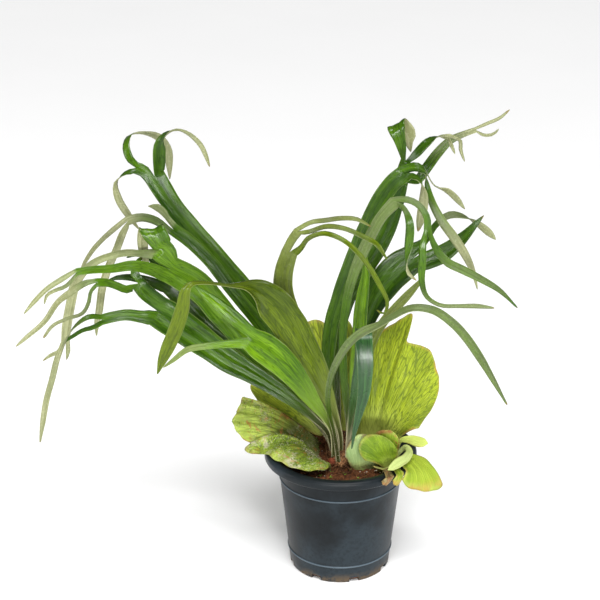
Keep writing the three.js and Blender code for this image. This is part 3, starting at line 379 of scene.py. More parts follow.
@dataclass
class Blade:
    """Grows the sheet of an antler frond: a stalk that widens, forks and ends in tines."""

    seed: float
    row_step: float = 4.6
    tip_length: float = 5.0
    root_columns: int = 16
    sheet: Sheet = field(default_factory=Sheet)

    LANE_REACH = 0.012
    FOOT_NARROWING = 0.76
    FOOT_SPAN = (20.0, 95.0)
    WIDTH_WAVE = 0.045
    LEAST_TIP = 0.12
    TIP_ROWS = 5
    FOLD_LENGTH = 18.0
    TIP_FADE = 16.0
    PLEAT, PLEAT_MOST = 0.055, 0.3
    SWAY, SWAY_MOST = 0.11, 0.9
    EDGE_WAVE = 0.08
    BLADE_EDGE, STALK_EDGE = 0.34, 0.55
    STALK_TAPER = 0.35

    def directions(self, course: Course, stops: Sequence[Stop]) -> list[Vector]:
        """Returns the direction across the blade at each stop.

        Args:
            course: The blade's course.
            stops: The stops on it.

        Returns:
            A unit direction for each stop.
        """
        found = []
        for i, stop in enumerate(stops):
            if stop.across:
                found.append(stop.across.copy())
                continue
            run = course.tangent(i / (len(stops) - 1))
            sight = (EYE - stop.place).normalized()
            flat = run.cross(sight).normalized()
            towards = flat.cross(run)
            angle = math.radians(stop.turn)
            found.append(flat * math.cos(angle) + towards * math.sin(angle))
        return found

    def shares(self, length: float, forks: bool) -> list[float]:
        """Returns the shares of a strap's length at which it has rows.

        Args:
            length: The strap's length.
            forks: Whether the strap forks at its end.

        Returns:
            The shares, closer together where an end is rounded.
        """
        if forks:
            steps = max(3, round(length / self.row_step))
            return [k / steps for k in range(steps + 1)]
        rest = max(length - self.tip_length, length * 0.5)
        steps = max(3, round(rest / self.row_step))
        body = [k / steps * rest / length for k in range(steps + 1)]
        last = self.TIP_ROWS
        return body + [1 - (1 - rest / length) * (1 - k / last) ** 2 for k in range(1, last + 1)]

    def lift(self, k: float, half: float, fold: float, pleat: float, so_far: float) -> float:
        """Returns how far the blade rises from its plane, with its gutter, pleats and waved edges.

        Args:
            k: The place across the blade, from -1 to 1.
            half: Half the blade's width.
            fold: How much of its own shape the strap has, from 0 where it leaves its parent to 1.
            pleat: How much it is pleated, from 0 to 1.
            so_far: The length from the frond's foot.

        Returns:
            The rise, in millimetres.
        """
        side = 1 if k > 0 else -1
        edge = waver(so_far * 0.045, self.seed + 5 * side)
        rise = GUTTER * half * fold * (math.sqrt(k * k + 0.04) - 0.5)
        rise += min(self.PLEAT * half, self.PLEAT_MOST) * pleat * math.cos(2.5 * math.pi * k + 0.6)
        sway = waver(2.6 * k + 0.008 * so_far, self.seed + 9)
        rise += min(self.SWAY * half, self.SWAY_MOST) * pleat * sway
        return rise + self.EDGE_WAVE * half * fold * k * k * edge

    def grow(self, tree: Strap, shared: Optional[list[int]] = None, walked: float = 0.0) -> None:
        """Grows one strap and all that it forks into.

        Args:
            tree: The strap.
            shared: The half row that it takes from its parent.
            walked: The length from the frond's foot to here.
        """
        sheet = self.sheet
        stops = list(tree.spine)
        columns = self.root_columns
        lanes = [self.LANE_REACH * (2 * c / columns - 1) for c in range(columns + 1)]
        carried = [Vector((0.0, 0.0, 0.0))] * (columns + 1)
        if shared:
            first, last = sheet.places[shared[0]], sheet.places[shared[-1]]
            stops.insert(0, Stop((first + last) / 2, (last - first).length / 2, stops[0].turn, stops[0].pale))
            columns = len(shared) - 1
            lanes = [sheet.marks["lane"][number] for number in shared]
            carried = [sheet.places[number] - first.lerp(last, c / columns)
                       for c, number in enumerate(shared)]
        course = Course([stop.place for stop in stops])
        directions = self.directions(course, stops)
        if shared:
            directions[0] = (last - first).normalized()
        halves = [stop.half for stop in stops]
        pales = [stop.pale for stop in stops]
        length = course.length
        row = shared
        for step, share in enumerate(self.shares(length, bool(tree.tines))):
            if step == 0 and shared:
                continue
            t = course.walked(share)
            run = course.tangent(t)
            at = t * (len(stops) - 1)
            i = min(int(at), len(stops) - 2)
            across = directions[i].lerp(directions[i + 1], at - i)
            across = (across - run * across.dot(run)).normalized()
            facing = across.cross(run)
            here = length * share
            left = length - here
            so_far = walked + here
            half = smooth_value(halves, t) * (1 + self.WIDTH_WAVE * waver(so_far * 0.055, self.seed))
            half *= lerp(self.FOOT_NARROWING, 1.0, smoothstep(*self.FOOT_SPAN, so_far))
            rounding = 1.0
            if not tree.tines and left < self.tip_length:
                rounding = math.sqrt(max(0.0, 1 - (1 - left / self.tip_length) ** 2))
                half *= max(self.LEAST_TIP, rounding)
            taper = 0.0 if shared else math.exp(-so_far / STALK_TAPER_LENGTH)
            thickness = lerp(BLADE_THICKNESS, STALK_THICKNESS, taper)
            edge = self.BLADE_EDGE if taper < self.STALK_TAPER else self.STALK_EDGE
            fold = smoothstep(0, self.FOLD_LENGTH, here) if shared else 1.0
            pleat = fold * smoothstep(0, self.TIP_FADE, left) if tree.tines else fold
            middle = course.point(t)
            following = []
            for c in range(columns + 1):
                k = 2 * c / columns - 1
                lift = self.lift(k, half, fold, pleat, so_far)
                number = sheet.add(
                    middle + across * (k * half) + facing * lift + carried[c] * (1 - fold),
                    facing,
                    thickness * lerp(edge, 1.0, 1 - k * k) * lerp(0.5, 1.0, rounding),
                    along=so_far * MM,
                    across=lerp(0.0, k, fold),
                    lane=lanes[c],
                    pale=clamp(smooth_value(pales, t)),
                    tip=0.0 if tree.tines else 1 - smoothstep(0, self.TIP_FADE, left),
                )
                following.append(number)
            if row:
                sheet.join(row, following)
            row = following
        if tree.tines and row:
            self.fork(tree, row, walked + length)

    def fork(self, tree: Strap, row: list[int], walked: float) -> None:
        """Splits the last row between two tines and grows them.

        Args:
            tree: The strap that forks.
            row: Its last row of places.
            walked: The length from the frond's foot to here.
        """
        middle = len(row) // 2
        pairs = [row[: middle + 1], row[middle:]]
        places = self.sheet.places

        def reach(pair: list[int], tine: Strap) -> float:
            """Returns how far a tine's first stop is from a half row."""
            return ((places[pair[0]] + places[pair[-1]]) / 2 - tine.spine[0].place).length

        first, second = tree.tines
        crossed = reach(pairs[1], first) + reach(pairs[0], second)
        if crossed < reach(pairs[0], first) + reach(pairs[1], second):
            pairs.reverse()
        for pair, tine in zip(pairs, tree.tines):
            self.grow(tine, pair, walked)


def net_relief(u: float, v: float, seed: float) -> float:
    """Returns how near a place lies to a line of a net of veins.

    Args:
        u: Place round the fan, in cells.
        v: Place along the fan, in cells.
        seed: A number of its own for each leaf.

    Returns:
        1 on a vein and 0 inside a cell.
    """
    distances, _ = noise.voronoi(Vector((u, v, seed)))
    return 1 - smoothstep(0.03, 0.24, distances[1] - distances[0])


@dataclass
class FanSheet:
    """Lays the sheet of a shield frond: columns from its base line to its outline, with a net of veins."""

    fan: Fan
    seed: float
    net_cell: float
    ragged: float
    net_lift: float
    sheet: Sheet = field(default_factory=Sheet)

    CELL = 1.5
    NET_STRETCH = 1.7
    RIM_INNER_RADIUS = 66.0
    RIM_RADIUS = 75.0
    POT_HEIGHT = 124.0
    DRAPE_HEIGHT = 1.6
    DRAPE_BULGE = 3.0
    SAMPLES = 6
    NET_BEND = 0.35
    NARROW_CELLS, WIDE_CELLS = 0.45, 0.9
    WIDE_FROM, WIDE_TO = 0.3, 0.6
    CREASE, SWELL = 0.5, 0.9
    BASE_THICKNESS, OUTER_THICKNESS, EDGE_THICKNESS = 1.3, 0.6, 0.35
    EDGE_WIDTH, FLAT_WIDTH, MARGIN_WIDTH = 2.5, 4.0, 6.0

    def draped_place(self, start: Vector, end: Vector, out: float) -> Vector:
        """Returns a place on the way over the pot's rim, at a bearing that turns evenly.

        Args:
            start: The place on the base line.
            end: The place on the outline.
            out: The share of the way between them.

        Returns:
            The place, in millimetres.
        """
        stops = (
            (math.hypot(start.x, start.y), start.z),
            (self.RIM_INNER_RADIUS - 0.5, self.POT_HEIGHT + self.DRAPE_HEIGHT),
            (self.RIM_RADIUS + 1.8, self.POT_HEIGHT + self.DRAPE_HEIGHT - 0.7),
            (max(math.hypot(end.x, end.y), self.RIM_RADIUS + 2.5), end.z),
        )
        leg = min(int(out * 3), 2)
        share = out * 3 - leg
        distance = lerp(stops[leg][0], stops[leg + 1][0], share)
        height = lerp(stops[leg][1], stops[leg + 1][1], share)
        angle = lerp(math.atan2(start.y, start.x), math.atan2(end.y, end.x), out)
        sag = self.DRAPE_BULGE * math.sin(math.pi * share) if leg == 2 else 0.0
        return Vector(((distance + sag) * math.cos(angle), (distance + sag) * math.sin(angle), height + sag))

    def facing(self, middle: Vector, rim: Course) -> Vector:
        """Returns the direction that the fan faces, on the side of the eye.

        Args:
            middle: The middle of the base line.
            rim: The outline.

        Returns:
            A unit direction.
        """
        total = Vector((0.0, 0.0, 0.0))
        for k in range(self.SAMPLES):
            one = rim.point(k / self.SAMPLES) - middle
            other = rim.point((k + 1) / self.SAMPLES) - middle
            total += other.cross(one)
        total.normalize()
        return -total if total.dot(EYE - middle) < 0 else total

    def lay(self) -> Sheet:
        """Lays the sheet from the base line to the outline.

        Returns:
            The sheet, with its ribs, net and marks.
        """
        form = self.fan.form
        foot = Course([stop.place for stop in self.fan.base])
        rim = Course([stop.place for stop in self.fan.outline])
        facing = self.facing(foot.point(0.5), rim)
        ends = [rim.point(k / form.columns) for k in range(form.columns + 1)]
        longest = max((end - foot.point(0.5)).length for end in ends)
        columns = max(12, round(rim.length / self.CELL))
        rows = max(9, round(longest / self.CELL / 3) * 3)
        grid = []
        for i in range(rows + 1):
            out = i / rows
            line = []
            for j in range(columns + 1):
                around = j / columns
                start = foot.point(around)
                end = rim.point(rim.walked(around))
                reach = (end - start).length
                share = reach / longest
                ragged = self.ragged * (waver(around * rim.length * 0.11, self.seed) - 0.3) * out**2
                place = self.draped_place(start, end, out) if form.draped else start.lerp(end, out)
                if not form.draped:
                    place += (end - start).normalized() * ragged
                bow = 4 * out * (1 - out)
                wave = out**3 * form.ripple * math.sin(form.waves * 2 * math.pi * around)
                place += facing * (bow * form.cup * share + wave)
                place.z += bow * form.rise
                line.append(place)
            grid.append(line)
        self.weave(grid, rim.length, longest, facing)
        return self.sheet

    def weave(self, grid: list[list[Vector]], girth: float, longest: float, facing: Vector) -> None:
        """Adds the grid's places with their ribs, net and marks, and joins them.

        Args:
            grid: Rows of places from the base line outwards.
            girth: The outline's length.
            longest: The longest way from the base line to the outline.
            facing: The side of the fan that its face is on.
        """
        form = self.fan.form
        rows, columns = len(grid) - 1, len(grid[0]) - 1
        outwards = grid[rows][columns // 2] - grid[0][columns // 2]
        sign = 1 if outwards.cross(grid[rows][-1] - grid[rows][0]).dot(facing) > 0 else -1
        cells_round = girth / self.net_cell
        cells_out = longest / (self.net_cell * self.NET_STRETCH)
        numbers = []
        for i, line in enumerate(grid):
            out = i / rows
            numbers.append([])
            for j, place in enumerate(line):
                around = j / columns
                outwards = (grid[min(rows, i + 1)][j] - grid[max(0, i - 1)][j]).normalized()
                onwards = (line[min(columns, j + 1)] - line[max(0, j - 1)]).normalized()
                face = outwards.cross(onwards).normalized() * sign
                bend = self.NET_BEND * waver(out * 5 + around * 9, self.seed + 3)
                u, v = around * cells_round, out * cells_out
                narrow = net_relief(u * self.NARROW_CELLS + bend, v, self.seed)
                wide = net_relief(u * self.WIDE_CELLS + bend, v, self.seed + 7)
                net = lerp(narrow, wide, smoothstep(self.WIDE_FROM, self.WIDE_TO, out))
                net *= smoothstep(0.02, 0.12, out)
                inside = math.sin(math.pi * out) ** 2
                rib = -self.CREASE * form.ribs * math.cos(math.pi * form.columns * around) * inside
                rib += self.SWELL * form.ribs * waver(around * girth * 0.09, self.seed + 11) * inside
                margin = min((1 - out) * longest, min(around, 1 - around) * girth * (0.15 + 0.85 * out))
                shape = rib + self.net_lift * (0.4 - net) * smoothstep(0, self.FLAT_WIDTH, margin)
                thickness = form.thickness * lerp(self.BASE_THICKNESS, self.OUTER_THICKNESS, out)
                edge = lerp(self.EDGE_THICKNESS, 1.0, smoothstep(0, self.EDGE_WIDTH, margin))
                numbers[-1].append(
                    self.sheet.add(
                        place + face * shape,
                        face,
                        thickness * edge,
                        along=out,
                        out=out * longest * MM,
                        lane=around * girth * MM,
                        margin=1 - smoothstep(0, self.MARGIN_WIDTH, margin),
                    )
                )
        for row, following in zip(numbers, numbers[1:]):
            if sign > 0:
                self.sheet.join(following, row)
            else:
                self.sheet.join(row, following)


Socket = bpy.types.NodeSocket
Value = Union[float, str, Socket]


def tone(code: str) -> tuple[float, float, float]:
    """Returns the linear colour of a six-figure colour code.

    Args:
        code: Two figures each of red, green and blue.

    Returns:
        Linear red, green and blue, from 0 to 1.
    """
    parts = [int(code[i : i + 2], 16) / 255 for i in (0, 2, 4)]
    r, g, b = [c / 12.92 if c <= 0.04045 else ((c + 0.055) / 1.055) ** 2.4 for c in parts]
    return r, g, b


class Graph:
    """The nodes of one procedural finish, ending in a single shader."""

    SHARE, LOWER, UPPER, BLENDED = 0, 6, 7, 2

    def __init__(self, name: str) -> None:
        """Makes an empty finish.

        Args:
            name: The material's name.
        """
        self.material = bpy.data.materials.new(name)
        self.material.use_nodes = True
        self.tree = self.material.node_tree
        self.tree.nodes.clear()
        output = self.tree.nodes.new("ShaderNodeOutputMaterial")
        self.shader = self.tree.nodes.new("ShaderNodeBsdfPrincipled")
        self.tree.links.new(self.shader.outputs[0], output.inputs[0])

    def node(self, kind: str, **inputs: Value) -> bpy.types.Node:
        """Adds a node and sets or links its inputs by name.

        Args:
            kind: The node's type.
            **inputs: Sockets or values, with spaces in names written as underscores.

        Returns:
            The node.
        """
        made = self.tree.nodes.new(kind)
        for name, value in inputs.items():
            self.put(made.inputs[name.replace("_", " ")], value)
        return made

    def put(self, target: Socket, value: Value) -> None:
        """Links a socket to a target, or sets its value, where text is a colour code.

        Args:
            target: The socket to fill.
            value: A socket, a number or a colour code.
        """
        if isinstance(value, bpy.types.NodeSocket):
            self.tree.links.new(value, target)
        elif isinstance(value, str):
            target.default_value = (*tone(value), 1.0)
        else:
            target.default_value = value

    def mark(self, name: str) -> Socket:
        """Returns the value of one of the mesh's marks.

        Args:
            name: The mark's name.

        Returns:
            Its socket.
        """
        made = self.tree.nodes.new("ShaderNodeAttribute")
        made.attribute_name = name
        return made.outputs["Fac"]

    def math(self, operation: str, a: Value, b: Value = 0.0, held: bool = False) -> Socket:
        """Returns a sum on one or two values.

        Args:
            operation: The sum's name.
            a: The first value or socket.
            b: The second value or socket.
            held: Whether the result is held between 0 and 1.

        Returns:
            The result's socket.
        """
        made = self.tree.nodes.new("ShaderNodeMath")
        made.operation = operation
        made.use_clamp = held
        self.put(made.inputs[0], a)
        self.put(made.inputs[1], b)
        return made.outputs[0]

    def times(self, a: Value, b: Value, held: bool = False) -> Socket:
        """Returns a times b, held between 0 and 1 where asked."""
        return self.math("MULTIPLY", a, b, held)

    def plus(self, a: Value, b: Value, held: bool = False) -> Socket:
        """Returns a plus b, held between 0 and 1 where asked."""
        return self.math("ADD", a, b, held)

    def spread(self, value: Socket, low: float, high: float,
               to_low: float = 0.0, to_high: float = 1.0) -> Socket:
        """Returns a value moved smoothly from one range to another and held there.

        Args:
            value: The value's socket.
            low: Where the first range starts.
            high: Where the first range ends.
            to_low: What the start becomes.
            to_high: What the end becomes.

        Returns:
            The result's socket.
        """
        made = self.node("ShaderNodeMapRange", Value=value)
        made.interpolation_type = "SMOOTHSTEP"
        for name, number in (("From Min", low), ("From Max", high), ("To Min", to_low), ("To Max", to_high)):
            made.inputs[name].default_value = number
        return made.outputs["Result"]

    def blend(self, share: Value, a: Value, b: Value) -> Socket:
        """Returns colour a with colour b laid over it.

        Args:
            share: How much of b shows, a value or socket.
            a: The colour below, a code or socket.
            b: The colour above, a code or socket.

        Returns:
            The colour's socket.
        """
        made = self.tree.nodes.new("ShaderNodeMix")
        made.data_type = "RGBA"
        self.put(made.inputs[self.SHARE], share)
        self.put(made.inputs[self.LOWER], a)
        self.put(made.inputs[self.UPPER], b)
        return made.outputs[self.BLENDED]

    def layered(self, colour: Value, *layers: tuple[Value, Value]) -> Socket:
        """Returns a colour with layers laid over it in order.

        Args:
            colour: The colour below, a code or socket.
            *layers: Each layer's share and its colour.

        Returns:
            The colour's socket.
        """
        for share, over in layers:
            colour = self.blend(share, colour, over)
        return colour

    def place(self) -> Socket:
        """Returns the surface's own coordinates."""
        return self.tree.nodes.new("ShaderNodeTexCoord").outputs["Object"]

    def vector(self, x: Value, y: Value, z: Value) -> Socket:
        """Returns a vector of three values or sockets."""
        return self.node("ShaderNodeCombineXYZ", X=x, Y=y, Z=z).outputs[0]

    def drawn(self, u: Socket, u_scale: float, v: Socket, v_scale: float, seed: float) -> Socket:
        """Returns coordinates in which a pattern is drawn out along v."""
        return self.vector(self.times(u, u_scale), self.times(v, v_scale), seed)

    def noise(self, where: Socket, scale: float, detail: float = 3.0, rough: float = 0.55) -> Socket:
        """Returns cloudy noise at a place."""
        made = self.node("ShaderNodeTexNoise", Vector=where, Scale=scale, Detail=detail, Roughness=rough)
        return made.outputs["Fac"]

    def cells(self, where: Socket, scale: float, feature: str = "F1") -> Socket:
        """Returns the distance in a pattern of cells at a place.

        Args:
            where: The coordinates' socket.
            scale: How fine the cells are.
            feature: Which distance, from a cell's middle or from its edge.

        Returns:
            The distance's socket.
        """
        made = self.tree.nodes.new("ShaderNodeTexVoronoi")
        made.feature = feature
        self.put(made.inputs["Vector"], where)
        made.inputs["Scale"].default_value = scale
        return made.outputs["Distance"]

    def finish(self, colour: Value, roughness: Value, height: Optional[Socket] = None,
               depth: float = 0.0003, **fixed: float) -> bpy.types.Material:
        """Joins colour, roughness and relief to the shader.

        Args:
            colour: Base colour, a code or socket.
            roughness: Roughness or its socket.
            height: The relief's height, from 0 to 1.
            depth: How deep the relief is, in metres.
            **fixed: Values set straight on the shader's own sockets.

        Returns:
            The finished material.
        """
        self.put(self.shader.inputs["Base Color"], colour)
        self.put(self.shader.inputs["Roughness"], roughness)
        for name, value in fixed.items():
            self.put(self.shader.inputs[name.replace("_", " ")], value)
        if height is not None:
            bump = self.node("ShaderNodeBump", Height=height)
            bump.inputs["Strength"].default_value = 1.0
            bump.inputs["Distance"].default_value = depth
            self.tree.links.new(bump.outputs[0], self.shader.inputs["Normal"])
        return self.material


class Green(Enum):
    """The greens of the antler fronds: lit colour, deep colour, underside and neck, where the darker necks
    are painted shade low in the bunch.
    """

    BRIGHT = ("6c9210", "2c4c04", "84875c", "738c34")
    FRESH = ("5c7e16", "284806", "8f926c", "42541a")
    OLIVE = ("64760f", "344406", "7b7f50", "78853c")
    DARK = ("3c5c0e", "122803", "7d815c", "2c380e")
    MID = ("4a6c10", "1b3804", "8d8f6c", "34440f")
    GLOSSY = ("35602a", "123414", "7d8562", "2c4418")


@dataclass(frozen=True)
class BladeFinish:
    """The upper face and the felted underside of an antler frond."""

    green: Green
    seed: float = 0.0
    gloss: float = 0.19
    shine: float = 0.2

    RELIEF_DEPTH = 0.0001

    def glossy(self, g: Graph) -> tuple[Socket, Socket]:
        """Returns the colour and the relief of the green side.

        Args:
            g: The finish's nodes.

        Returns:
            The colour's and the relief's sockets.
        """
        lit, deep, _, neck = self.green.value
        along, lane = g.mark("along"), g.mark("lane")
        sides = g.math("ABSOLUTE", g.mark("across"))
        bands = g.drawn(lane, 150.0, along, 6.0, self.seed)
        run = g.drawn(lane, 800.0, along, 16.0, self.seed)
        mesh = g.drawn(lane, 760.0, along, 44.0, self.seed + 4)
        band = g.spread(g.noise(bands, 1.0, 3.0, 0.5), 0.36, 0.64)
        streak = g.spread(g.noise(run, 1.0, 4.0, 0.6), 0.34, 0.66)
        cloud = g.noise(g.place(), 20.0, 4.0, 0.6)
        veins = g.spread(g.cells(mesh, 1.0, "DISTANCE_TO_EDGE"), 0.01, 0.12, 1.0, 0.0)
        rise = g.plus(along, g.times(streak, 0.018))
        rib = g.spread(sides, 0.35, 0.85)
        stalk = g.blend(g.times(g.spread(streak, 0.2, 0.8), rib), "2a2a14", "b5ad8c")
        scurf = g.spread(g.noise(g.place(), 800.0, 2.0, 0.5), 0.66, 0.78, 0.0, 0.25)
        colour = g.layered(
            deep,
            (g.times(band, 0.62), lit),
            (g.times(streak, 0.42), lit),
            (g.spread(cloud, 0.42, 0.72, 0.0, 0.6), deep),
            (g.times(veins, 0.5), g.blend(0.25, "0c1c04", deep)),
            (g.spread(sides, 0.93, 0.995, 0.0, 0.28), "8f9a58"),
            # The neck colour is the stalk's own paler green on the bright and olive fronds, and painted shade
            # low in the bunch on the darker ones.
            (g.spread(rise, 0.055, 0.13, 0.6, 0.0), neck),
            (g.spread(rise, 0.03, 0.085, 0.9, 0.0), stalk),
            (scurf, "7c8a54"),
        )
        return colour, g.plus(g.times(streak, 0.45), g.times(veins, -0.3))

    def felted(self, g: Graph) -> tuple[Socket, Socket]:
        """Returns the colour and the relief of the dull underside.

        Args:
            g: The finish's nodes.

        Returns:
            The colour's and the relief's sockets.
        """
        _, deep, pale, _ = self.green.value
        along = g.mark("along")
        run = g.drawn(g.mark("lane"), 640.0, along, 13.0, self.seed + 9)
        streak = g.spread(g.noise(run, 1.0, 4.0, 0.6), 0.36, 0.66)
        felt = g.noise(g.place(), 420.0, 4.0, 0.65)
        patch = g.noise(g.place(), 24.0, 3.0, 0.6)
        colour = g.layered(
            "6c7048",
            (streak, pale),
            (g.spread(patch, 0.45, 0.65, 0.0, 0.5), g.blend(0.55, deep, pale)),
            (g.spread(felt, 0.5, 0.74, 0.0, 0.4), "aeb090"),
            (g.spread(along, 0.03, 0.1, 0.85, 0.0), g.blend(streak, "6f6247", "cbc2a2")),
        )
        return colour, g.plus(felt, g.times(streak, 0.6))

    def side(self, name: str, upper: bool) -> bpy.types.Material:
        """Returns one side of the blade, which turns to the other where the blade is turned over.

        Args:
            name: The frond's name.
            upper: Whether this is the green side.

        Returns:
            The material.
        """
        g = Graph(name + ("_upper" if upper else "_under"))
        green, vein_relief = self.glossy(g)
        felt, felt_relief = self.felted(g)
        turned = g.mark("pale")
        dull = turned if upper else g.math("SUBTRACT", 1.0, turned)
        tip = g.times(g.mark("tip"), g.noise(g.place(), 60.0), True)
        colour = g.layered(green, (dull, felt), (g.spread(tip, 0.42, 0.62, 0.0, 0.7), "6d5a2c"))
        rough = g.spread(g.noise(g.place(), 30.0), 0.3, 0.7, self.gloss - 0.08, self.gloss + 0.06)
        rough = g.plus(rough, g.times(dull, 0.4), True)
        height = g.plus(g.times(vein_relief, g.math("SUBTRACT", 1.0, dull)), g.times(felt_relief, dull))
        return g.finish(colour, rough, height, self.RELIEF_DEPTH, Specular_IOR_Level=self.shine)


class Lime(Enum):
    """The colours of the shield fronds: young face, shaded face, veins and edge."""

    GOLD = ("9cab20", "6f8012", "3a4c08", "9a6224")
    FRESH = ("8fa828", "587412", "3c5512", "805e2c")
    PALE = ("a5b47c", "7c935c", "62783c", "6e5234")
    MOSSY = ("93a338", "3f4c0e", "262f08", "6a3f20")
    LEFT = ("a9ba50", "4c5a12", "2f3a0a", "7c4420")
    DRY = ("957a58", "6c543a", "4c3626", "4c3020")
    YELLOW = ("a5b538", "7a8f20", "586c14", "a5793a")


@dataclass(frozen=True)
class FanFinish:
    """The face and the back of a shield frond."""

    lime: Lime
    seed: float = 0.0
    brown: float = 0.35
    moss: float = 0.0
    gloss: float = 0.5
    net_width: float = 2.7
    net_strength: float = 0.7

    RELIEF_DEPTH = 0.00025
    BACK_ROUGHNESS = 0.8
    STAINED_FROM = 0.5

    def net(self, g: Graph) -> Socket:
        """Returns the net of veins: long cells that run outwards, narrower towards the rim.

        Args:
            g: The finish's nodes.

        Returns:
            A socket that is 1 on a vein and 0 inside a cell.
        """
        lane, out, along = g.mark("lane"), g.mark("out"), g.mark("along")
        bend = g.times(g.math("SUBTRACT", g.noise(g.place(), 55.0, 2.0), 0.5), 0.9)
        found = []
        for share, offset in ((0.68, 0.0), (1.4, 20.0)):
            u = g.plus(g.times(lane, 1000 * share / self.net_width), bend)
            v = g.times(out, 1000 * (0.5 + 0.5 * share) / (self.net_width * 8.0))
            cell = g.cells(g.vector(u, v, self.seed + offset), 1.0, "DISTANCE_TO_EDGE")
            found.append(g.spread(cell, 0.02, 0.12, 1.0, 0.0))
        fine = g.times(found[1], g.spread(along, 0.3, 0.62, 0.0, 0.5))
        return g.times(g.math("MAXIMUM", found[0], fine), g.spread(along, 0.03, 0.25), True)

    def leaf(self, g: Graph, veins: Socket, cloud: Socket, grain: Socket) -> Socket:
        """Returns the colour of the bare leaf: its greens, rays, net, specks and worn rim, with a paler base
        that is partly painted light.

        Args:
            g: The finish.
            veins: The net of veins.
            cloud: Noise of a few centimetres.
            grain: Noise of a few millimetres.

        Returns:
            The colour's socket.
        """
        young, shaded, vein_colour, edge_colour = self.lime.value
        along, margin = g.mark("along"), g.mark("margin")
        broad = g.noise(g.place(), 11.0, 3.0, 0.5)
        rays = g.drawn(g.mark("lane"), 130.0, g.mark("out"), 14.0, self.seed)
        ray = g.spread(g.noise(rays, 1.0, 3.0, 0.55), 0.35, 0.65)
        speck = g.spread(g.cells(g.place(), 190.0), 0.04, 0.1, 0.5, 0.0)
        worn = g.times(margin, g.spread(g.noise(g.place(), 70.0, 4.0, 0.7), 0.42, 0.62))
        return g.layered(
            shaded,
            (g.spread(broad, 0.36, 0.64), young),
            (g.times(ray, 0.45), young),
            (g.spread(cloud, 0.45, 0.7, 0.0, 0.5), shaded),
            # Paler towards the base: partly the leaf's own paler base, partly painted light laid over the
            # shadow that falls across the base.
            (g.spread(along, 0.05, 0.45, 0.75, 0.0), g.blend(0.75, young, "b2bd68")),
            (g.times(veins, self.net_strength), vein_colour),
            (g.spread(grain, 0.55, 0.78, 0.0, 0.2), "b2b862"),
            (g.times(speck, g.spread(cloud, 0.52, 0.6)), "6a4c20"),
            (g.spread(margin, 0.2, 0.9, 0.0, 0.25), "b0b66a"),
            (g.times(worn, self.brown * 1.6, True), edge_colour),
        )

    def stained(self, g: Graph, colour: Socket, grain: Socket) -> Socket:
        """Returns the colour with rust brown streaks across it.

        Args:
            g: The finish's nodes.
            colour: The leaf's colour.
            grain: Noise of a few millimetres.

        Returns:
            The colour's socket.
        """
        rust = g.drawn(g.mark("lane"), 60.0, g.mark("out"), 190.0, 7.0)
        stain = g.spread(g.noise(rust, 1.0, 4.0, 0.65), 0.55, 0.64, 0.0, self.brown)
        return g.blend(stain, colour, g.blend(grain, "6a3f1e", "b0763f"))

    def mossed(self, g: Graph, colour: Socket, height: Socket) -> tuple[Socket, Socket]:
        """Returns the colour and the relief with moss and white scurf over them.

        Args:
            g: The finish's nodes.
            colour: The leaf's colour.
            height: The leaf's relief.

        Returns:
            The colour's and the relief's sockets.
        """
        tuft = g.noise(g.place(), 520.0, 5.0, 0.7)
        patch = g.spread(g.noise(g.place(), 36.0, 3.0, 0.6), 0.36, 0.52, 0.0, self.moss)
        white = g.spread(g.noise(g.place(), 58.0, 5.0, 0.75), 0.52, 0.64, 0.0, 0.85 * self.moss)
        colour = g.layered(
            colour,
            (patch, g.blend(g.spread(tuft, 0.36, 0.66), "1f3306", "7d9420")),
            (white, g.blend(tuft, "6d6450", "cfc9b2")),
        )
        return colour, g.plus(height, g.times(tuft, patch))

    def face(self, name: str, back: bool = False) -> bpy.types.Material:
        """Returns the net-veined face, or the duller back.

        Args:
            name: The leaf's name.
            back: Whether this is the side away from the light.

        Returns:
            The material.
        """
        g = Graph(name + ("_back" if back else "_face"))
        along, veins = g.mark("along"), self.net(g)
        cloud = g.noise(g.place(), 30.0, 5.0, 0.62)
        grain = g.noise(g.place(), 420.0, 4.0, 0.6)
        colour = self.leaf(g, veins, cloud, grain)
        height = g.plus(g.times(grain, 0.35), g.times(veins, -0.8))
        # On mossed shields the first two layers are painted light and shade: the outer part is lightened and
        # the lower middle is darkened where the fronds above shade it.
        if self.moss:
            colour = g.layered(
                colour,
                (g.spread(along, 0.6, 0.95, 0.0, 0.4), "a9bc52"),
                (g.spread(along, 0.3, 0.75, 0.9 - 0.4 * self.moss, 0.0), "333c0c"),
                (g.spread(along, 0.08, 0.28, 0.75 * self.moss, 0.0), "8f8a72"),
            )
        if self.brown > self.STAINED_FROM:
            colour = self.stained(g, colour, grain)
        if self.moss:
            colour, height = self.mossed(g, colour, height)
        if back:
            colour = g.blend(0.4, colour, "949c62")
            rough = self.BACK_ROUGHNESS
        else:
            rough = g.spread(cloud, 0.3, 0.7, self.gloss - 0.06, self.gloss + 0.14)
        return g.finish(colour, rough, height, self.RELIEF_DEPTH, Specular_IOR_Level=0.2)


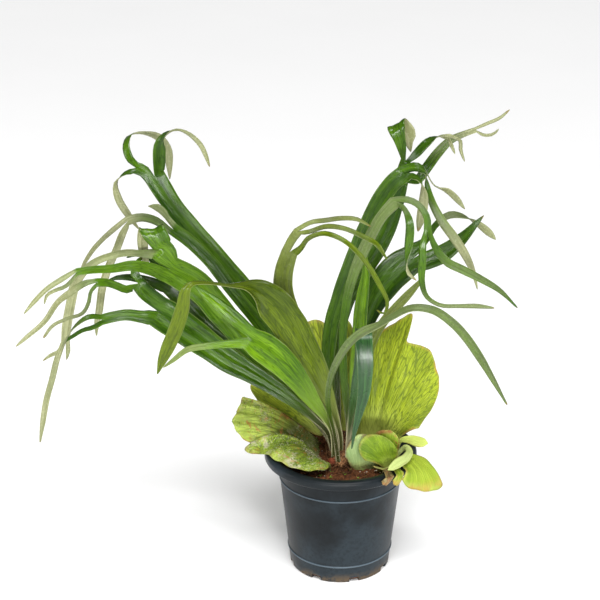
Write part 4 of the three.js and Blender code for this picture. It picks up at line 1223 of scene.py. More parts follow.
@dataclass(frozen=True)
class PlasticFinish:
    """The pot's black moulded plastic, dusted under its lip and splashed at its foot, with painted highlight
    lines along its rings.
    """

    rings: tuple[float, ...]
    shine: float = 0.16

    RELIEF_DEPTH = 0.00006
    LIP = (0.109, 0.1128)
    LIP_END = (0.1138, 0.1144)
    SPLASH = (0.002, 0.012)

    def material(self) -> bpy.types.Material:
        """Makes the finish's nodes.

        Returns:
            The material.
        """
        g = Graph("pot_plastic")
        where = g.place()
        z = g.node("ShaderNodeSeparateXYZ", Vector=where).outputs["Z"]
        cloud = g.noise(where, 16.0, 5.0, 0.6)
        fine = g.noise(where, 260.0, 4.0, 0.65)
        salt = g.noise(where, 120.0, 6.0, 0.75)
        mud = g.noise(where, 70.0, 5.0, 0.7)
        haze = g.spread(g.noise(where, 11.0, 3.0, 0.55), 0.4, 0.56, 0.15, 0.75)
        scuff = g.spread(g.noise(where, 40.0, 6.0, 0.8), 0.62, 0.72, 0.0, 0.15)
        lip = g.times(g.spread(z, *self.LIP), g.spread(z, *self.LIP_END, 1.0, 0.0))
        dust = g.times(lip, g.spread(salt, 0.5, 0.62), True)
        splash = g.times(g.spread(z, *self.SPLASH, 1.0, 0.0), g.spread(mud, 0.42, 0.6))
        # Painted highlight: a thin pale line at each ring's height stands for the light that the raised ring
        # catches from above.
        rings = []
        for ring in self.rings:
            apart = g.math("ABSOLUTE", g.math("SUBTRACT", z, (ring + 0.3) * MM))
            rings.append((g.spread(apart, 0.0003, 0.001, 0.55, 0.0), "5c6a74"))
        colour = g.layered(
            g.blend(g.spread(cloud, 0.3, 0.7), "07090a", "0f1315"),
            (g.times(haze, g.spread(fine, 0.25, 0.6, 0.5, 1.0)), "262f35"),
            *rings,
            (g.times(dust, 0.6), "6e6c62"),
            (g.times(splash, 0.7), "5a4a36"),
            (scuff, "3a4043"),
        )
        rough = g.spread(cloud, 0.3, 0.7, 0.3, 0.42)
        rough = g.plus(rough, g.times(g.plus(dust, splash), 0.3), True)
        return g.finish(colour, rough, fine, self.RELIEF_DEPTH, Specular_IOR_Level=self.shine)


@dataclass(frozen=True)
class EarthFinish:
    """A rough fibrous finish: its name, its dark and light colour codes, and how fine its grain is."""

    name: str
    dark: str
    light: str
    scale: float
    roughness: float = 0.92
    shine: float = 0.2

    RELIEF_DEPTH = 0.0006

    def material(self) -> bpy.types.Material:
        """Makes the finish's nodes.

        Returns:
            The material.
        """
        g = Graph(self.name)
        grain = g.noise(g.place(), self.scale, 6.0, 0.7)
        patch = g.noise(g.place(), self.scale * 0.2, 4.0, 0.6)
        colour = g.layered(
            self.dark,
            (g.spread(grain, 0.3, 0.7), self.light),
            (g.spread(patch, 0.45, 0.65, 0.0, 0.5), self.dark),
        )
        return g.finish(colour, self.roughness, grain, self.RELIEF_DEPTH, Specular_IOR_Level=self.shine)


@dataclass(frozen=True)
class PaperFinish:
    """The floor's pale matt paper."""

    light: str = "fafafa"
    shaded: str = "f7f7f7"
    roughness: float = 0.9

    def material(self) -> bpy.types.Material:
        """Makes the finish's nodes.

        Returns:
            The material.
        """
        g = Graph("floor_paper")
        cloud = g.noise(g.place(), 3.0, 2.0, 0.5)
        return g.finish(g.blend(cloud, self.light, self.shaded), self.roughness)


# Antler fronds of the left bunch, from the front to the back
FRONT_LEFT = strap(
  [
    grown(-7, -12, 115, 3), (-8, 140, -13, 3.6), (-14, 154, -15, 4.6), (-27, 174, -19, 7.5),
    (-40, 194, -23, 10.5), (-52, 210, -26, 13), (-66, 224, -29, 14.5),
    (-79, 234, -31, 14), (-89, 241, -32, 11.5),
  ],
  strap([
    (-105, 264, -29, 7), (-120, 278, -27, 5.5), (-131, 287, -25, 3.6),
    (-140, 295, -24, 1.2),
  ]),
  strap([
    (-105, 235, -34, 4.2), (-118, 234, -36, 3.6), (-134, 232, -38, 3.3, 0, 0.3),
    (-148, 229, -38, 3, 0, 0.5), (-162, 218, -37, 2.2, 0, 0.5), (-172, 210, -36, 1, 0, 0.5),
  ]),
)

CREST_LEFT = strap([
  grown(0, -7, 115, 3), (0, 134, -7, 3.4), (-4, 152, -7, 4.4), (-10, 170, -8, 6.4),
  (-18, 190, -9, 9.6), (-27, 211, -10, 13), (-38, 232, -11, 15.5), (-50, 254, -13, 17),
  (-63, 273, -16, 17), (-76, 286, -21, 14, -20), (-86, 292, -27, 9, -35),
  (-95, 294.5, -33, 5.2, -50), (-108, 295, -41, 3.2, -60), (-121, 297, -48, 2.8, -60),
  (-134, 298, -54, 2.8, -50), (-144, 296, -58, 3.4, -30), (-149, 287, -60, 5.4, -10),
  (-151, 275, -60, 6.6), (-155, 261, -60, 7), (-160, 247, -60, 7),
  (-167, 231, -59, 6.4), (-173, 217, -58, 4.4), (-178, 203, -56, 1.2),
])

BROAD_LEFT = strap(
  [
    grown(-7, -2, 114, 3), (-13, 140, -2, 3.8), (-26, 155, -2, 4.4), (-43, 171, -2, 5.6),
    (-63, 187, -1, 7.6), (-86, 203, 0, 9.6), (-109, 218, 0, 12), (-129, 234, 0, 13.5),
    (-148, 249, -1, 15), (-164, 261, -2, 16), (-176, 269, -3, 15),
  ],
  strap(
    [(-187, 289, -4, 7.6), (-193, 297, -4, 7)],
    strap(
      [
        (-204, 291, -8, 3.8), (-214, 295, -11, 3.8), (-223, 298, -14, 4),
        (-232, 298, -17, 4.2),
      ],
      strap([
        (-244, 297, -18.5, 3, 0, 0.4), (-256, 289, -22, 3.3, 0, 1),
        (-270, 278, -23, 2.8, 0, 1), (-284, 258, -24, 2.5, 0, 1), (-303, 241, -26, 2, 0, 1),
        (-313, 232, -27, 1, 0, 1),
      ]),
      strap([
        (-238, 289, -16, 1.7, 0, 0.2), (-241, 277, -14, 1.8, 0, 0.4),
        (-248, 266, -10, 1.8, 0, 0.5), (-262, 261, -8, 1.7, 0, 0.7),
        (-276, 254, -7, 1.7, 0, 0.9), (-286, 241, -6, 1.4, 0, 1),
      ]),
    ),
    strap([(-196, 308, 1, 4.2), (-193, 318, 4, 3), (-187, 325, 6, 1.2)]),
  ),
  strap(
    [
      (-191, 263, -6, 6), (-205, 265, -8, 5.4), (-218, 263, -10, 5.2),
      (-229, 260, -12, 5.2),
    ],
    strap([
      (-241, 263, -16, 2.8, -20), (-252, 256, -20, 2.8, -50, 0.2),
      (-264, 241, -24, 2.9, -110, 0.3), (-273, 222, -26, 3, -160),
      (-280, 198, -26, 3, -180), (-287, 175, -26, 3, -180), (-292, 151, -25, 2.6, -180),
      (-296, 129, -24, 1.1, -180),
    ]),
    strap([
      (-238, 252, -11, 2.4), (-248, 249, -10, 2.1), (-259, 242, -9, 1.8),
      (-268, 236, -8, 1),
    ]),
  ),
)

ARCHED_LEFT = strap(
  [
    grown(-7, 8, 115, 3), (-14, 138, 9, 3.7), (-30, 160, 11, 5), (-51, 186, 13, 7),
    (-74, 214, 14, 9), (-97, 244, 13, 11), (-117, 270, 10, 12.5), (-135, 293, 6, 13.5),
    (-150, 304, 3, 14), (-162, 311, 0, 13),
  ],
  strap(
    [
      (-182, 312, -10, 6), (-199, 315, -20, 5), (-217, 312, -28, 4),
      (-234, 311, -34, 3.6), (-250, 309, -38, 3.6),
    ],
    strap([
      (-264, 302, -42, 2.6, 0, 0.8), (-279, 292, -44, 2.4, 0, 1),
      (-292, 279, -45, 2.2, 0, 1), (-303, 266, -46, 1, 0, 1),
    ]),
    strap([
      (-262, 294, -36, 1.9, 0, 0.5), (-272, 290, -35, 1.8, 0, 0.8),
      (-280, 285, -34, 1.6, 0, 1), (-283, 276, -33, 0.9, 0, 1),
    ]),
  ),
  strap(
    [(-165, 325, 0, 11), (-170, 331, 0, 11.5)],
    strap(
      [
        (-188, 327, 4, 3.6, 0, 0.5), (-202, 328, 6, 3.4, 0, 0.8),
        (-217, 325, 8, 3.3, 0, 0.8), (-232, 319, 9, 3.4, 0, 0.9), (-244, 309, 10, 4, 0, 1),
        (-253, 295, 10, 4.6, 0, 1), (-258, 276, 10, 4.6, 0, 1), (-263, 253, 9, 4.5, 0, 1),
        (-265, 237, 8, 4.2, 0, 1),
      ],
      strap([(-263, 228, 7, 2.2, 0, 1), (-265, 218, 6, 1, 0, 1)]),
      strap([(-272, 227, 9, 2, 0, 1), (-280, 223, 10, 1.8, 0, 1), (-288, 217, 10, 0.9, 0, 1)]),
    ),
    strap(
      held_across(0.98, 0, 0.18, [
        (-168, 335, 0, 9.4), (-173, 343, 0, 10.8), (-178, 351, 1, 11.8),
        (-179.5, 352, 4, 11.4), (-184.5, 347, 6.5, 7.4), (-187, 340, 8, 5.4),
        (-187, 331, 9, 4.6), (-186, 323, 9.5, 3.6), (-183.5, 315, 9.5, 2.2),
        (-182, 309, 9.5, 1),
      ]),
    ),
  ),
)

DARK_LEFT = strap(
  [
    grown(-7, 18, 115, 3), (-15, 145, 20, 3.7), (-32, 168, 23, 5), (-60, 196, 26, 7),
    (-94, 226, 28, 9), (-124, 255, 28, 10.5), (-147, 279, 27, 11),
    (-162, 296, 26, 10.5),
  ],
  strap([
    (-182, 299, 22, 4.6), (-198, 303, 20, 3.6), (-212, 303, 18, 2.4),
    (-222, 300, 17, 1),
  ]),
  strap([
    (-171, 315, 24, 5), (-181, 324, 22, 4), (-193, 327, 22, 2.8), (-203, 323, 21, 1.2),
  ]),
)

WISPY_LEFT = strap(
  [
    grown(-7, 28, 115, 3), (-15, 160, 32, 3.7), (-37, 195, 37, 4.6), (-61, 230, 41, 5.4),
    (-84, 263, 43, 6), (-107, 294, 44, 6), (-125, 320, 44, 6), (-144, 340, 44, 6),
    (-158, 351, 44, 6),
  ],
  strap(
    [(-175, 360, 43, 4, 0, 0.2), (-188, 363, 42, 4, 0, 0.4), (-200, 360, 41, 4.6, 0, 0.8)],
    strap([
      (-214, 351, 43, 2.5, 0, 1), (-224, 342, 44, 2.3, 0, 1), (-234, 331, 44, 2.2, 0, 1),
      (-242, 319, 44, 1.8, 0, 1), (-247, 310, 44, 0.9, 0, 1),
    ]),
    strap([
      (-206, 346, 36, 3.4, 0, 1), (-212, 331, 34, 3.6, 0, 1), (-220, 314, 33, 3.7, 0, 1),
      (-227, 293, 32, 3.7, 0, 1), (-231, 270, 31, 3.5, 0, 1), (-234, 256, 31, 2.6, 0, 1),
      (-235, 243, 31, 1, 0, 1),
    ]),
  ),
  strap([
    (-163.5, 363, 47, 2.6, 0, 0.5), (-167.5, 369, 48, 3.6, 0, 0.6),
    (-173, 373, 49, 3.4, 0, 0.6), (-181, 374, 50, 1, 0, 0.6),
  ]),
)

TALL_LEFT = strap(
  [
    grown(-7, 38, 115, 3), (-14, 165, 44, 3.8), (-34, 205, 50, 5), (-58, 243, 55, 6.5),
    (-80, 275, 58, 8), (-99, 300, 60, 9), (-120, 326, 61, 9), (-141, 352, 61, 9),
    (-158, 375, 61, 9), (-168, 392, 61, 9.5), (-174, 403, 61, 10),
  ],
  strap(
    [(-184, 408, 60, 5.6), (-191, 411, 60, 5.6)],
    strap([
      (-202, 405, 58, 3.2, -60), (-210, 396, 56, 3.4, -120), (-208, 381, 55, 3.5, -170),
      (-200, 366, 54, 3.3, -180), (-190, 351, 53, 1.1, -180),
    ]),
    strap([
      (-196, 420, 64, 3.6, 10), (-199, 432, 68, 4, 40), (-195, 442, 73, 4.2, 80),
      (-182, 444, 78, 4.4, 110), (-169, 440, 80, 4.2, 150), (-161, 428, 80, 4, 180),
      (-160, 414, 79, 3.2, 180), (-160, 400, 78, 1.1, 180),
    ]),
  ),
  strap([
    (-169, 418, 58, 5.8), (-168, 431, 55, 6, 20), (-163, 442, 52, 5, 70),
    (-152, 447, 49, 3, 110), (-141, 443, 47, 2.4, 140), (-131, 433, 46, 2.4, 170),
    (-126, 422, 45, 2, 180), (-123, 412, 45, 1, 180),
  ]),
)

# Antler frond in the middle
ARCH_MIDDLE = strap(
  [
    grown(0, 3, 115, 3), (-5, 150, 3, 3.8), (-14, 180, 4, 5), (-26, 212, 5, 7),
    (-39, 242, 5, 8.5), (-50, 268, 5, 9.5, 0, 0.15), (-56, 291, 4, 9.5, 0, 0.2),
    (-55, 310, 2, 8.8, 0, 0.25), (-50, 328, -2, 8, 0, 0.3),
  ],
  strap(
    [(-47, 342, -5, 4.2, 0, 0.4), (-42, 349, -8, 4.4, 0, 0.5)],
    strap([
      (-30, 358, -8, 2.2, 10, 0.5), (-16, 360, -5, 2.4, 30, 0.5),
      (-2, 362, -5, 2.4, 30, 0.5), (13, 361, -6, 2.2, 30, 0.4), (26, 354, -7, 1, 30, 0.4),
    ]),
    strap([
      (-31, 349, -11, 2.2, 10, 0.3), (-15, 354, -17, 2.5, 30, 0.3),
      (1, 352, -20, 2.5, 30, 0.2), (17, 345, -22, 2.5, 30), (32, 336, -24, 2.3, 20),
      (42, 321, -25, 1, 10),
    ]),
  ),
  strap([
    (-39, 333, -9, 2.8), (-31, 343, -18, 2.5, 20, 0.2), (-16, 347, -25, 2.5, 30),
    (1, 340, -29, 2.5, 30), (15, 327, -31, 2.5, 20), (26, 312, -32, 2.5, 10),
    (36, 294, -33, 2.3), (43, 278, -33, 1.8), (40, 266, -33, 1.4), (33, 270, -34, 0.9),
  ]),
)

# Antler fronds of the right bunch, from the front to the back
FRONT_RIGHT = strap([
  grown(-2, -19, 114, 3), (-6, 138, -22, 2.7), (-11, 160, -28, 2.6),
  (-13, 180, -35, 2.7, 0, 0.15), (-10, 201, -42, 3.1, 0, 0.25), (-2, 221, -50, 3.7, 0, 0.3),
  (9, 238, -58, 4.2, 0, 0.3), (21, 248, -64, 4.3, 20, 0.35), (34, 254, -67, 4, 40, 0.35),
  (48, 263, -68, 4, 40, 0.3), (66, 272, -69, 4, 30, 0.3), (86, 270, -70, 4.2, 20, 0.3),
  (104, 258, -70, 4.3, 10, 0.3), (118, 243, -69, 4.4, 0, 0.3), (133, 221, -68, 4, 0, 0.3),
  (147, 197, -66, 2.8, 0, 0.3), (162, 170, -64, 1.1, 0, 0.3),
])

# This blade rises, bends over towards the front and hangs, with its width along X all the way.
HANGING_RIGHT = strap(
  held_across(-1, 0, 0, [
    grown(6, -14, 114, 3), (9, 150, -17, 3.6, 0, 1), (14, 185, -23, 5, 0, 1),
    (19, 214, -28, 7, 0, 1), (21, 234, -31, 8.2, 0, 1), (21, 246, -36, 8.4, 0, 0.6),
    (21, 250, -43, 8.4), (21, 244, -50, 8.3), (22, 230, -57, 8.3), (23, 208, -65, 7.7),
    (22, 183, -71, 6.1), (17, 158, -73, 3.7), (13, 138, -72, 2), (11, 122, -70, 0.9),
  ]),
)

STAR_RIGHT = strap(
  [
    grown(9, -9, 114, 3), (8, 145, -9, 3.6), (5, 175, -6, 3.8), (2, 207, -2, 3.8),
    (1, 240, -1, 3.8), (3, 268, -1, 4), (8, 297, -2, 4.5, 0, 0.15),
    (16, 322, -3, 5.2, 0, 0.3), (26, 345, -5, 5.3, 0, 0.35), (36, 364, -7, 5.2, 0, 0.35),
    (48, 378, -9, 6, 0, 0.35),
  ],
  strap(
    [(61, 380, -12, 3.2, 0, 0.25), (71, 374, -13, 3, 0, 0.2), (78, 363, -14, 3.2), (79, 350, -15, 3.6)],
    strap([
      (86, 335, -13, 3.2), (98, 319, -12, 4, 0, 0.15), (113, 311, -12, 4, 0, 0.2),
      (130, 302, -12, 3.5, 0, 0.2), (149, 290, -12, 2.5, 0, 0.2), (167, 272, -12, 1),
    ]),
    strap([
      (75, 335, -18, 3.4), (75, 318, -20, 3.7), (75, 300, -21, 3),
      (80, 284, -22, 2.3, 0, 0.2), (93, 275, -22, 2, 0, 0.45), (111, 274, -22, 2, 0, 0.5),
      (128, 274, -22, 2.4, 0, 0.5), (145, 272, -22, 1.2, 0, 0.5),
    ]),
  ),
  strap([
    (57, 371, -16, 2.5, 0, 0.2), (62, 358, -20, 3.8), (62, 338, -21, 4.2),
    (60, 322, -22, 3, -60), (62, 308, -23, 2.2, -140), (70, 300, -24, 1, -160),
  ]),
)

UPRIGHT_RIGHT = strap([
  grown(7, 4, 115, 3), (9, 150, 6, 3.8), (12, 180, 8, 4.8), (14, 210, 9, 6),
  (16, 235, 9, 6.5), (17, 254, 9, 6.6), (18, 272, 9, 6.6), (20, 290, 9, 5.4),
  (22, 308, 8, 3.8), (21, 324, 8, 2.3), (18, 338, 8, 1),
])

TALL_RIGHT = strap(
  [
    grown(0, 15, 115, 3), (-3, 150, 16, 3.8), (-9, 180, 17, 4.8), (-13, 210, 18, 6),
    (-12, 238, 18, 6.8), (-9, 260, 18, 7.2), (-3, 280, 17, 7.8), (3, 298, 16, 8.5),
    (12, 325, 16, 8.5), (22, 352, 16, 8.5), (33, 377, 15, 8.3), (45, 396, 14, 8.2),
    (55, 405, 13, 8),
  ],
  strap(
    [(66, 412, 17, 4.3, 10), (75, 408, 20, 4.6, 50)],
    strap([
      (84, 394, 24, 2.8, 90), (96, 389, 27, 3, 150), (105, 381, 29, 3, 170),
      (113, 371, 30, 1.1, 180),
    ]),
    strap([
      (78, 390, 16, 3.2, 30), (84, 374, 13, 3.6, 0, 0.2), (93, 358, 11, 4.2, 0, 0.5),
      (104, 343, 9, 4.4, 0, 0.8), (115, 326, 8, 3.9, 0, 1), (123, 309, 7, 2.6, 0, 1),
      (128, 291, 7, 0.9, 0, 1),
    ]),
  ),
  strap([
    (64, 403, 8, 3, 20), (71, 398, 4, 3.4, 70), (74, 389, 3, 4.4, 130),
    (74, 374, 2, 4.8, 170), (72, 360, 2.5, 4, 180), (70, 349, 3, 1.6, 180),
  ]),
)

LOW_RIGHT = strap([
  grown(7, 15, 115, 3), (11, 150, 17, 3.7), (17, 182, 20, 4), (24, 214, 22, 4.2),
  (31, 241, 22, 4.3, 0, 0.2), (40, 258, 21, 4.5, 0, 0.3), (51, 272, 20, 4.5, 0, 0.3),
  (62, 285, 19, 4, 0, 0.3), (71, 296, 18, 2.6, 0, 0.3), (78, 305, 17, 1, 0, 0.3),
])

DARK_RIGHT = strap(
  [
    grown(7, 26, 115, 3), (9, 160, 29, 3.8), (12, 195, 32, 5), (17, 230, 33, 7),
    (23, 262, 33, 10), (32, 285, 32, 13.5), (44, 303, 31, 15.5), (56, 315, 30, 15.5),
    (66, 322, 29, 13.5),
  ],
  strap([
    (77, 340, 32, 3.4), (86, 355, 34, 3), (98, 365, 36, 3.4, 0, 0.5),
    (112, 364, 37, 3.8, 60, 0.5), (125, 357, 38, 4.3, 130), (136, 348, 39, 4, 155),
    (143, 341, 39.5, 1.6, 160),
  ]),
  strap([
    (79, 320, 27, 8.6), (92, 326, 26, 8.6), (104, 335, 25, 7.2), (115, 346, 24, 4.8),
    (124, 357, 23, 2.8), (131, 365, 23, 1),
  ]),
)

HIGHEST_RIGHT = strap(
  [
    grown(0, 34, 115, 3), (-3, 168, 37, 3.8), (-5, 210, 42, 4.8), (-2, 250, 45, 5.6),
    (8, 285, 46.5, 6.2), (22, 312, 47, 7.4), (34, 335, 47, 8.2), (43, 356, 46, 8),
    (49, 378, 44, 7.4), (53, 398, 42, 7),
  ],
  strap(
    [(54, 410, 42, 4.6), (57, 418, 42, 4.8)],
    strap(
      held_across(0.88, 0, 0.47, [
        (53, 430, 42, 4.3), (50.5, 439, 42, 5.6), (48, 447, 42, 7.8),
        (47.3, 452, 43.5, 8.8), (48.7, 453, 46.5, 8.8), (51.7, 449.5, 48.5, 9),
        (56, 444.5, 49.5, 9), (59, 439, 50, 6.8), (59.5, 434.5, 50, 3.6),
        (60.5, 430, 50, 2.2), (61.5, 426, 50, 1),
      ]),
    ),
    strap(
      [
        (67, 425, 45, 3.8), (76, 435, 46, 4, 20), (86, 441, 47, 4, 90),
        (96, 440, 48, 3.8, 140),
      ],
      strap([(106, 437, 49, 1.8, 150), (107, 428, 50, 1.7, 170), (111, 417, 50, 0.9, 180)]),
      strap([(99, 431, 46, 1.7, 170), (102, 424, 45, 0.9, 180)]),
    ),
  ),
  strap(
    [
      (69, 400, 50, 4.2), (77, 412, 54, 4.8), (86, 425, 57, 4.6, 0, 0.2),
      (97, 437, 60, 3.6, 0, 0.4), (109, 443, 62, 2.8, 0, 0.8), (120, 447, 63, 2.6, 0, 1),
    ],
    strap([(130, 453, 62, 1.6, 0, 1), (141, 458, 62, 1.5, 0, 1), (150, 466, 62, 0.9, 0, 1)]),
    strap([(128, 442, 65, 1.5, 0, 1), (136, 443, 66, 1.4, 0, 1), (141, 448, 66, 0.9, 0, 1)]),
  ),
)

# Shield fronds of the plant, then the young ones of the offset, and the dried strips over the rim
SHIELD_RIGHT = shield(
  [grown(14, 34, 108), grown(34, 32, 108), grown(50, 27, 108)],
  [
    (12, 160, 40), (15, 196, 46), (23, 228, 48), (36, 247, 48), (52, 258, 46),
    (67, 267, 44), (65, 250, 36), (63, 238, 36), (72, 235, 38), (81, 231, 36),
    (88, 223, 34), (92, 211, 31), (95, 195, 29), (94, 180, 27), (89, 166, 26),
    (81, 153, 24), (77, 145, 21),
  ],
  Form(cup=9, rise=5, ripple=1.8, waves=7, ribs=0.5, columns=26, thickness=1.2),
)

SHIELD_BACK = shield(
  [grown(-18, 50, 108), grown(0, 55, 108), grown(14, 50, 108)],
  [
    (-82, 175, 56), (-88, 190, 62), (-71, 209, 68), (-58, 230, 74), (-44, 248, 76),
    (-34, 258, 75), (-22, 260, 76), (-14, 256, 76), (-6, 260, 74), (6, 259, 72),
    (12, 246, 68), (14, 215, 62), (14, 175, 56),
  ],
  Form(cup=8, ripple=2.2, waves=6, ribs=0.5, columns=20, thickness=1.2),
)

SHIELD_LEFT = shield(
  [grown(-17, 0, 109), grown(-19, 16, 109), grown(-17, 34, 109)],
  [
    (-88, 127, 0), (-98, 135, 1), (-105, 147, 5), (-107, 153, 8), (-102, 164, 14),
    (-96, 179, 22),
  ],
  Form(cup=1, rise=9, ripple=1.6, waves=5, ribs=0.4, columns=18, thickness=1.3),
)

SHIELD_MOSSY = shield(
  [grown(-19, -4, 109), grown(-17, -15, 109), grown(-10, -26, 109)],
  [
    (-84, 131, -4), (-95, 123, -8), (-88, 116, -12), (-77, 117, -18),
    (-69, 113, -28), (-61, 108, -38), (-51, 103, -47), (-41, 99, -53),
    (-31, 98, -54), (-21, 98, -48), (-12, 101, -39),
  ],
  Form(cup=15, rise=4, ripple=0.8, waves=6, ribs=0.5, columns=22, thickness=1.5),
)

OFFSET_DISC = shield(
  [grown(11, -22, 109), grown(21, -23, 109), grown(32, -20, 109)],
  [
    (5, 114, -23), (6, 123, -22), (10, 131, -21), (17, 138, -18), (25, 138, -16),
    (33, 130, -15), (38, 118, -15), (40, 109, -16),
  ],
  Form(cup=4, columns=10, thickness=1.3),
)

OFFSET_PAD = shield(
  [grown(52, -14, 109), grown(48, -17, 109), grown(45, -21, 109)],
  [
    (57, 118, -20), (52, 128, -18), (44, 135, -17), (36, 138, -20), (25, 137, -24),
    (18, 127, -27), (19, 117, -29), (24, 109, -31),
  ],
  Form(cup=5, rise=3, columns=10, thickness=1.4),
)

OFFSET_CURL = shield(
  [grown(38, -2, 109), grown(46, -1, 109), grown(53, -2, 109)],
  [
    (31, 132, -8), (35, 140, -7), (42, 143, -6), (50, 142, -6), (56, 136, -6),
    (58, 128, -6),
  ],
  Form(cup=3, columns=8, thickness=1.4),
)

OFFSET_UNDER = shield(
  [grown(36, -28, 110), grown(42, -27, 110), grown(48, -25, 110)],
  [
    (32, 103, -36), (38, 100, -40), (44, 99, -41), (50, 103, -36), (53, 108, -30),
  ],
  Form(rise=3, columns=8, thickness=1.3),
)

# The pointed leaf and the lobe are narrow, so they are straps too.
OFFSET_POINTED = strap([
  grown(53, -8, 111, 2), grown(57, -9, 122, 2.4), (64, 124, -15, 3, 15),
  (68, 119, -27, 3.6, 12), (64, 111.5, -42, 4.6, 10), (57, 106.5, -53, 4.8),
  (51, 101.5, -61, 3.4), (47, 98.5, -65, 1.2),
])

OFFSET_LOBE = strap([
  grown(55, 5, 111, 2.2), (59, 131, 5, 2.8, 30), (69, 132, 1, 5, 20),
  (76, 130, -2, 5.6, 10), (82, 129, -4, 4.4), (86, 128, -5, 2),
])

OFFSET_TONGUE = shield(
  [grown(51, -26, 109), grown(54, -18, 109), grown(56, -12, 109)],
  [
    (61, 88, -55), (65, 81, -55), (73, 77, -52), (85, 74.5, -46), (97, 76.5, -38),
    (102, 82, -32), (97, 90, -27), (91, 98, -23),
  ],
  Form(ripple=0.5, waves=4, ribs=0.4, draped=True, columns=10, thickness=1.3),
)

DRY_STRIP = shield(
  [grown(36, -41, 109), grown(38, -39, 109), grown(40, -37, 109)],
  [(41, 86, -69), (42, 83, -70), (45, 81, -69), (48, 83, -67), (50, 86, -65)],
  Form(draped=True, columns=4, thickness=1.2),
)

GREEN_STRIP = shield(
  [grown(43, -35, 109), grown(45, -33, 109), grown(47, -31, 109)],
  [(52, 87, -63), (53, 83, -64), (56, 81, -62), (59, 83, -59), (60, 87, -57)],
  Form(draped=True, columns=4, thickness=1.2),
)


def report(obj: bpy.types.Object) -> None:
    """Logs what a piece is made of."""
    LOG.info("%s: %d vertices, %d faces", obj.name, len(obj.data.vertices), len(obj.data.polygons))


def settle(obj: bpy.types.Object, node: str) -> bpy.types.Object:
    """Lets a piece stand for a solid: it rides with the plant and hides the solid.

    Args:
        obj: The piece.
        node: The solid's name.

    Returns:
        The piece.
    """
    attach(obj, "root")
    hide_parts(node)
    report(obj)
    return obj


def accompany(obj: bpy.types.Object) -> None:
    """Lets an added piece ride with the plant.

    Args:
        obj: The piece.
    """
    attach(obj, "root")
    report(obj)


def round_place(radius: float, angle: float, height: float) -> Vector:
    """Returns the place at a radius, a bearing and a height, in millimetres."""
    return Vector((radius * math.cos(angle), radius * math.sin(angle), height))


def bearings_of(count: int, turned: float = 0.0) -> list[float]:
    """Returns evenly spaced bearings, turned by a share of a step."""
    return [2 * math.pi * (k + turned) / count for k in range(count)]


def wrapped(rows: Sequence[Sequence[Vector]], first: Vector, last: Optional[Vector] = None,
            turned: bool = False) -> tuple[list[Vector], list[tuple[int, ...]]]:
    """Wraps faces round rows of places.

    Args:
        rows: Rounds of as many places, from the top to the foot or from the middle outwards.
        first: The place before the first round.
        last: The place after the last round, if that end is closed.
        turned: Whether the four-sided faces are split along their other diagonal.

    Returns:
        The places and the faces.
    """
    rounds = len(rows[0])
    places = [first, *(place for row in rows for place in row)]
    end = len(places)
    polygons = []
    for k in range(rounds):
        after = (k + 1) % rounds
        polygons.append((0, 1 + k, 1 + after))
        for low in range(1, end - rounds, rounds):
            high = low + rounds
            face = (low + k, high + k, high + after, low + after)
            polygons.append(face[1:] + face[:1] if turned else face)
        if last is not None:
            polygons.append((end - rounds + k, end, end - rounds + after))
    return (places if last is None else [*places, last]), polygons


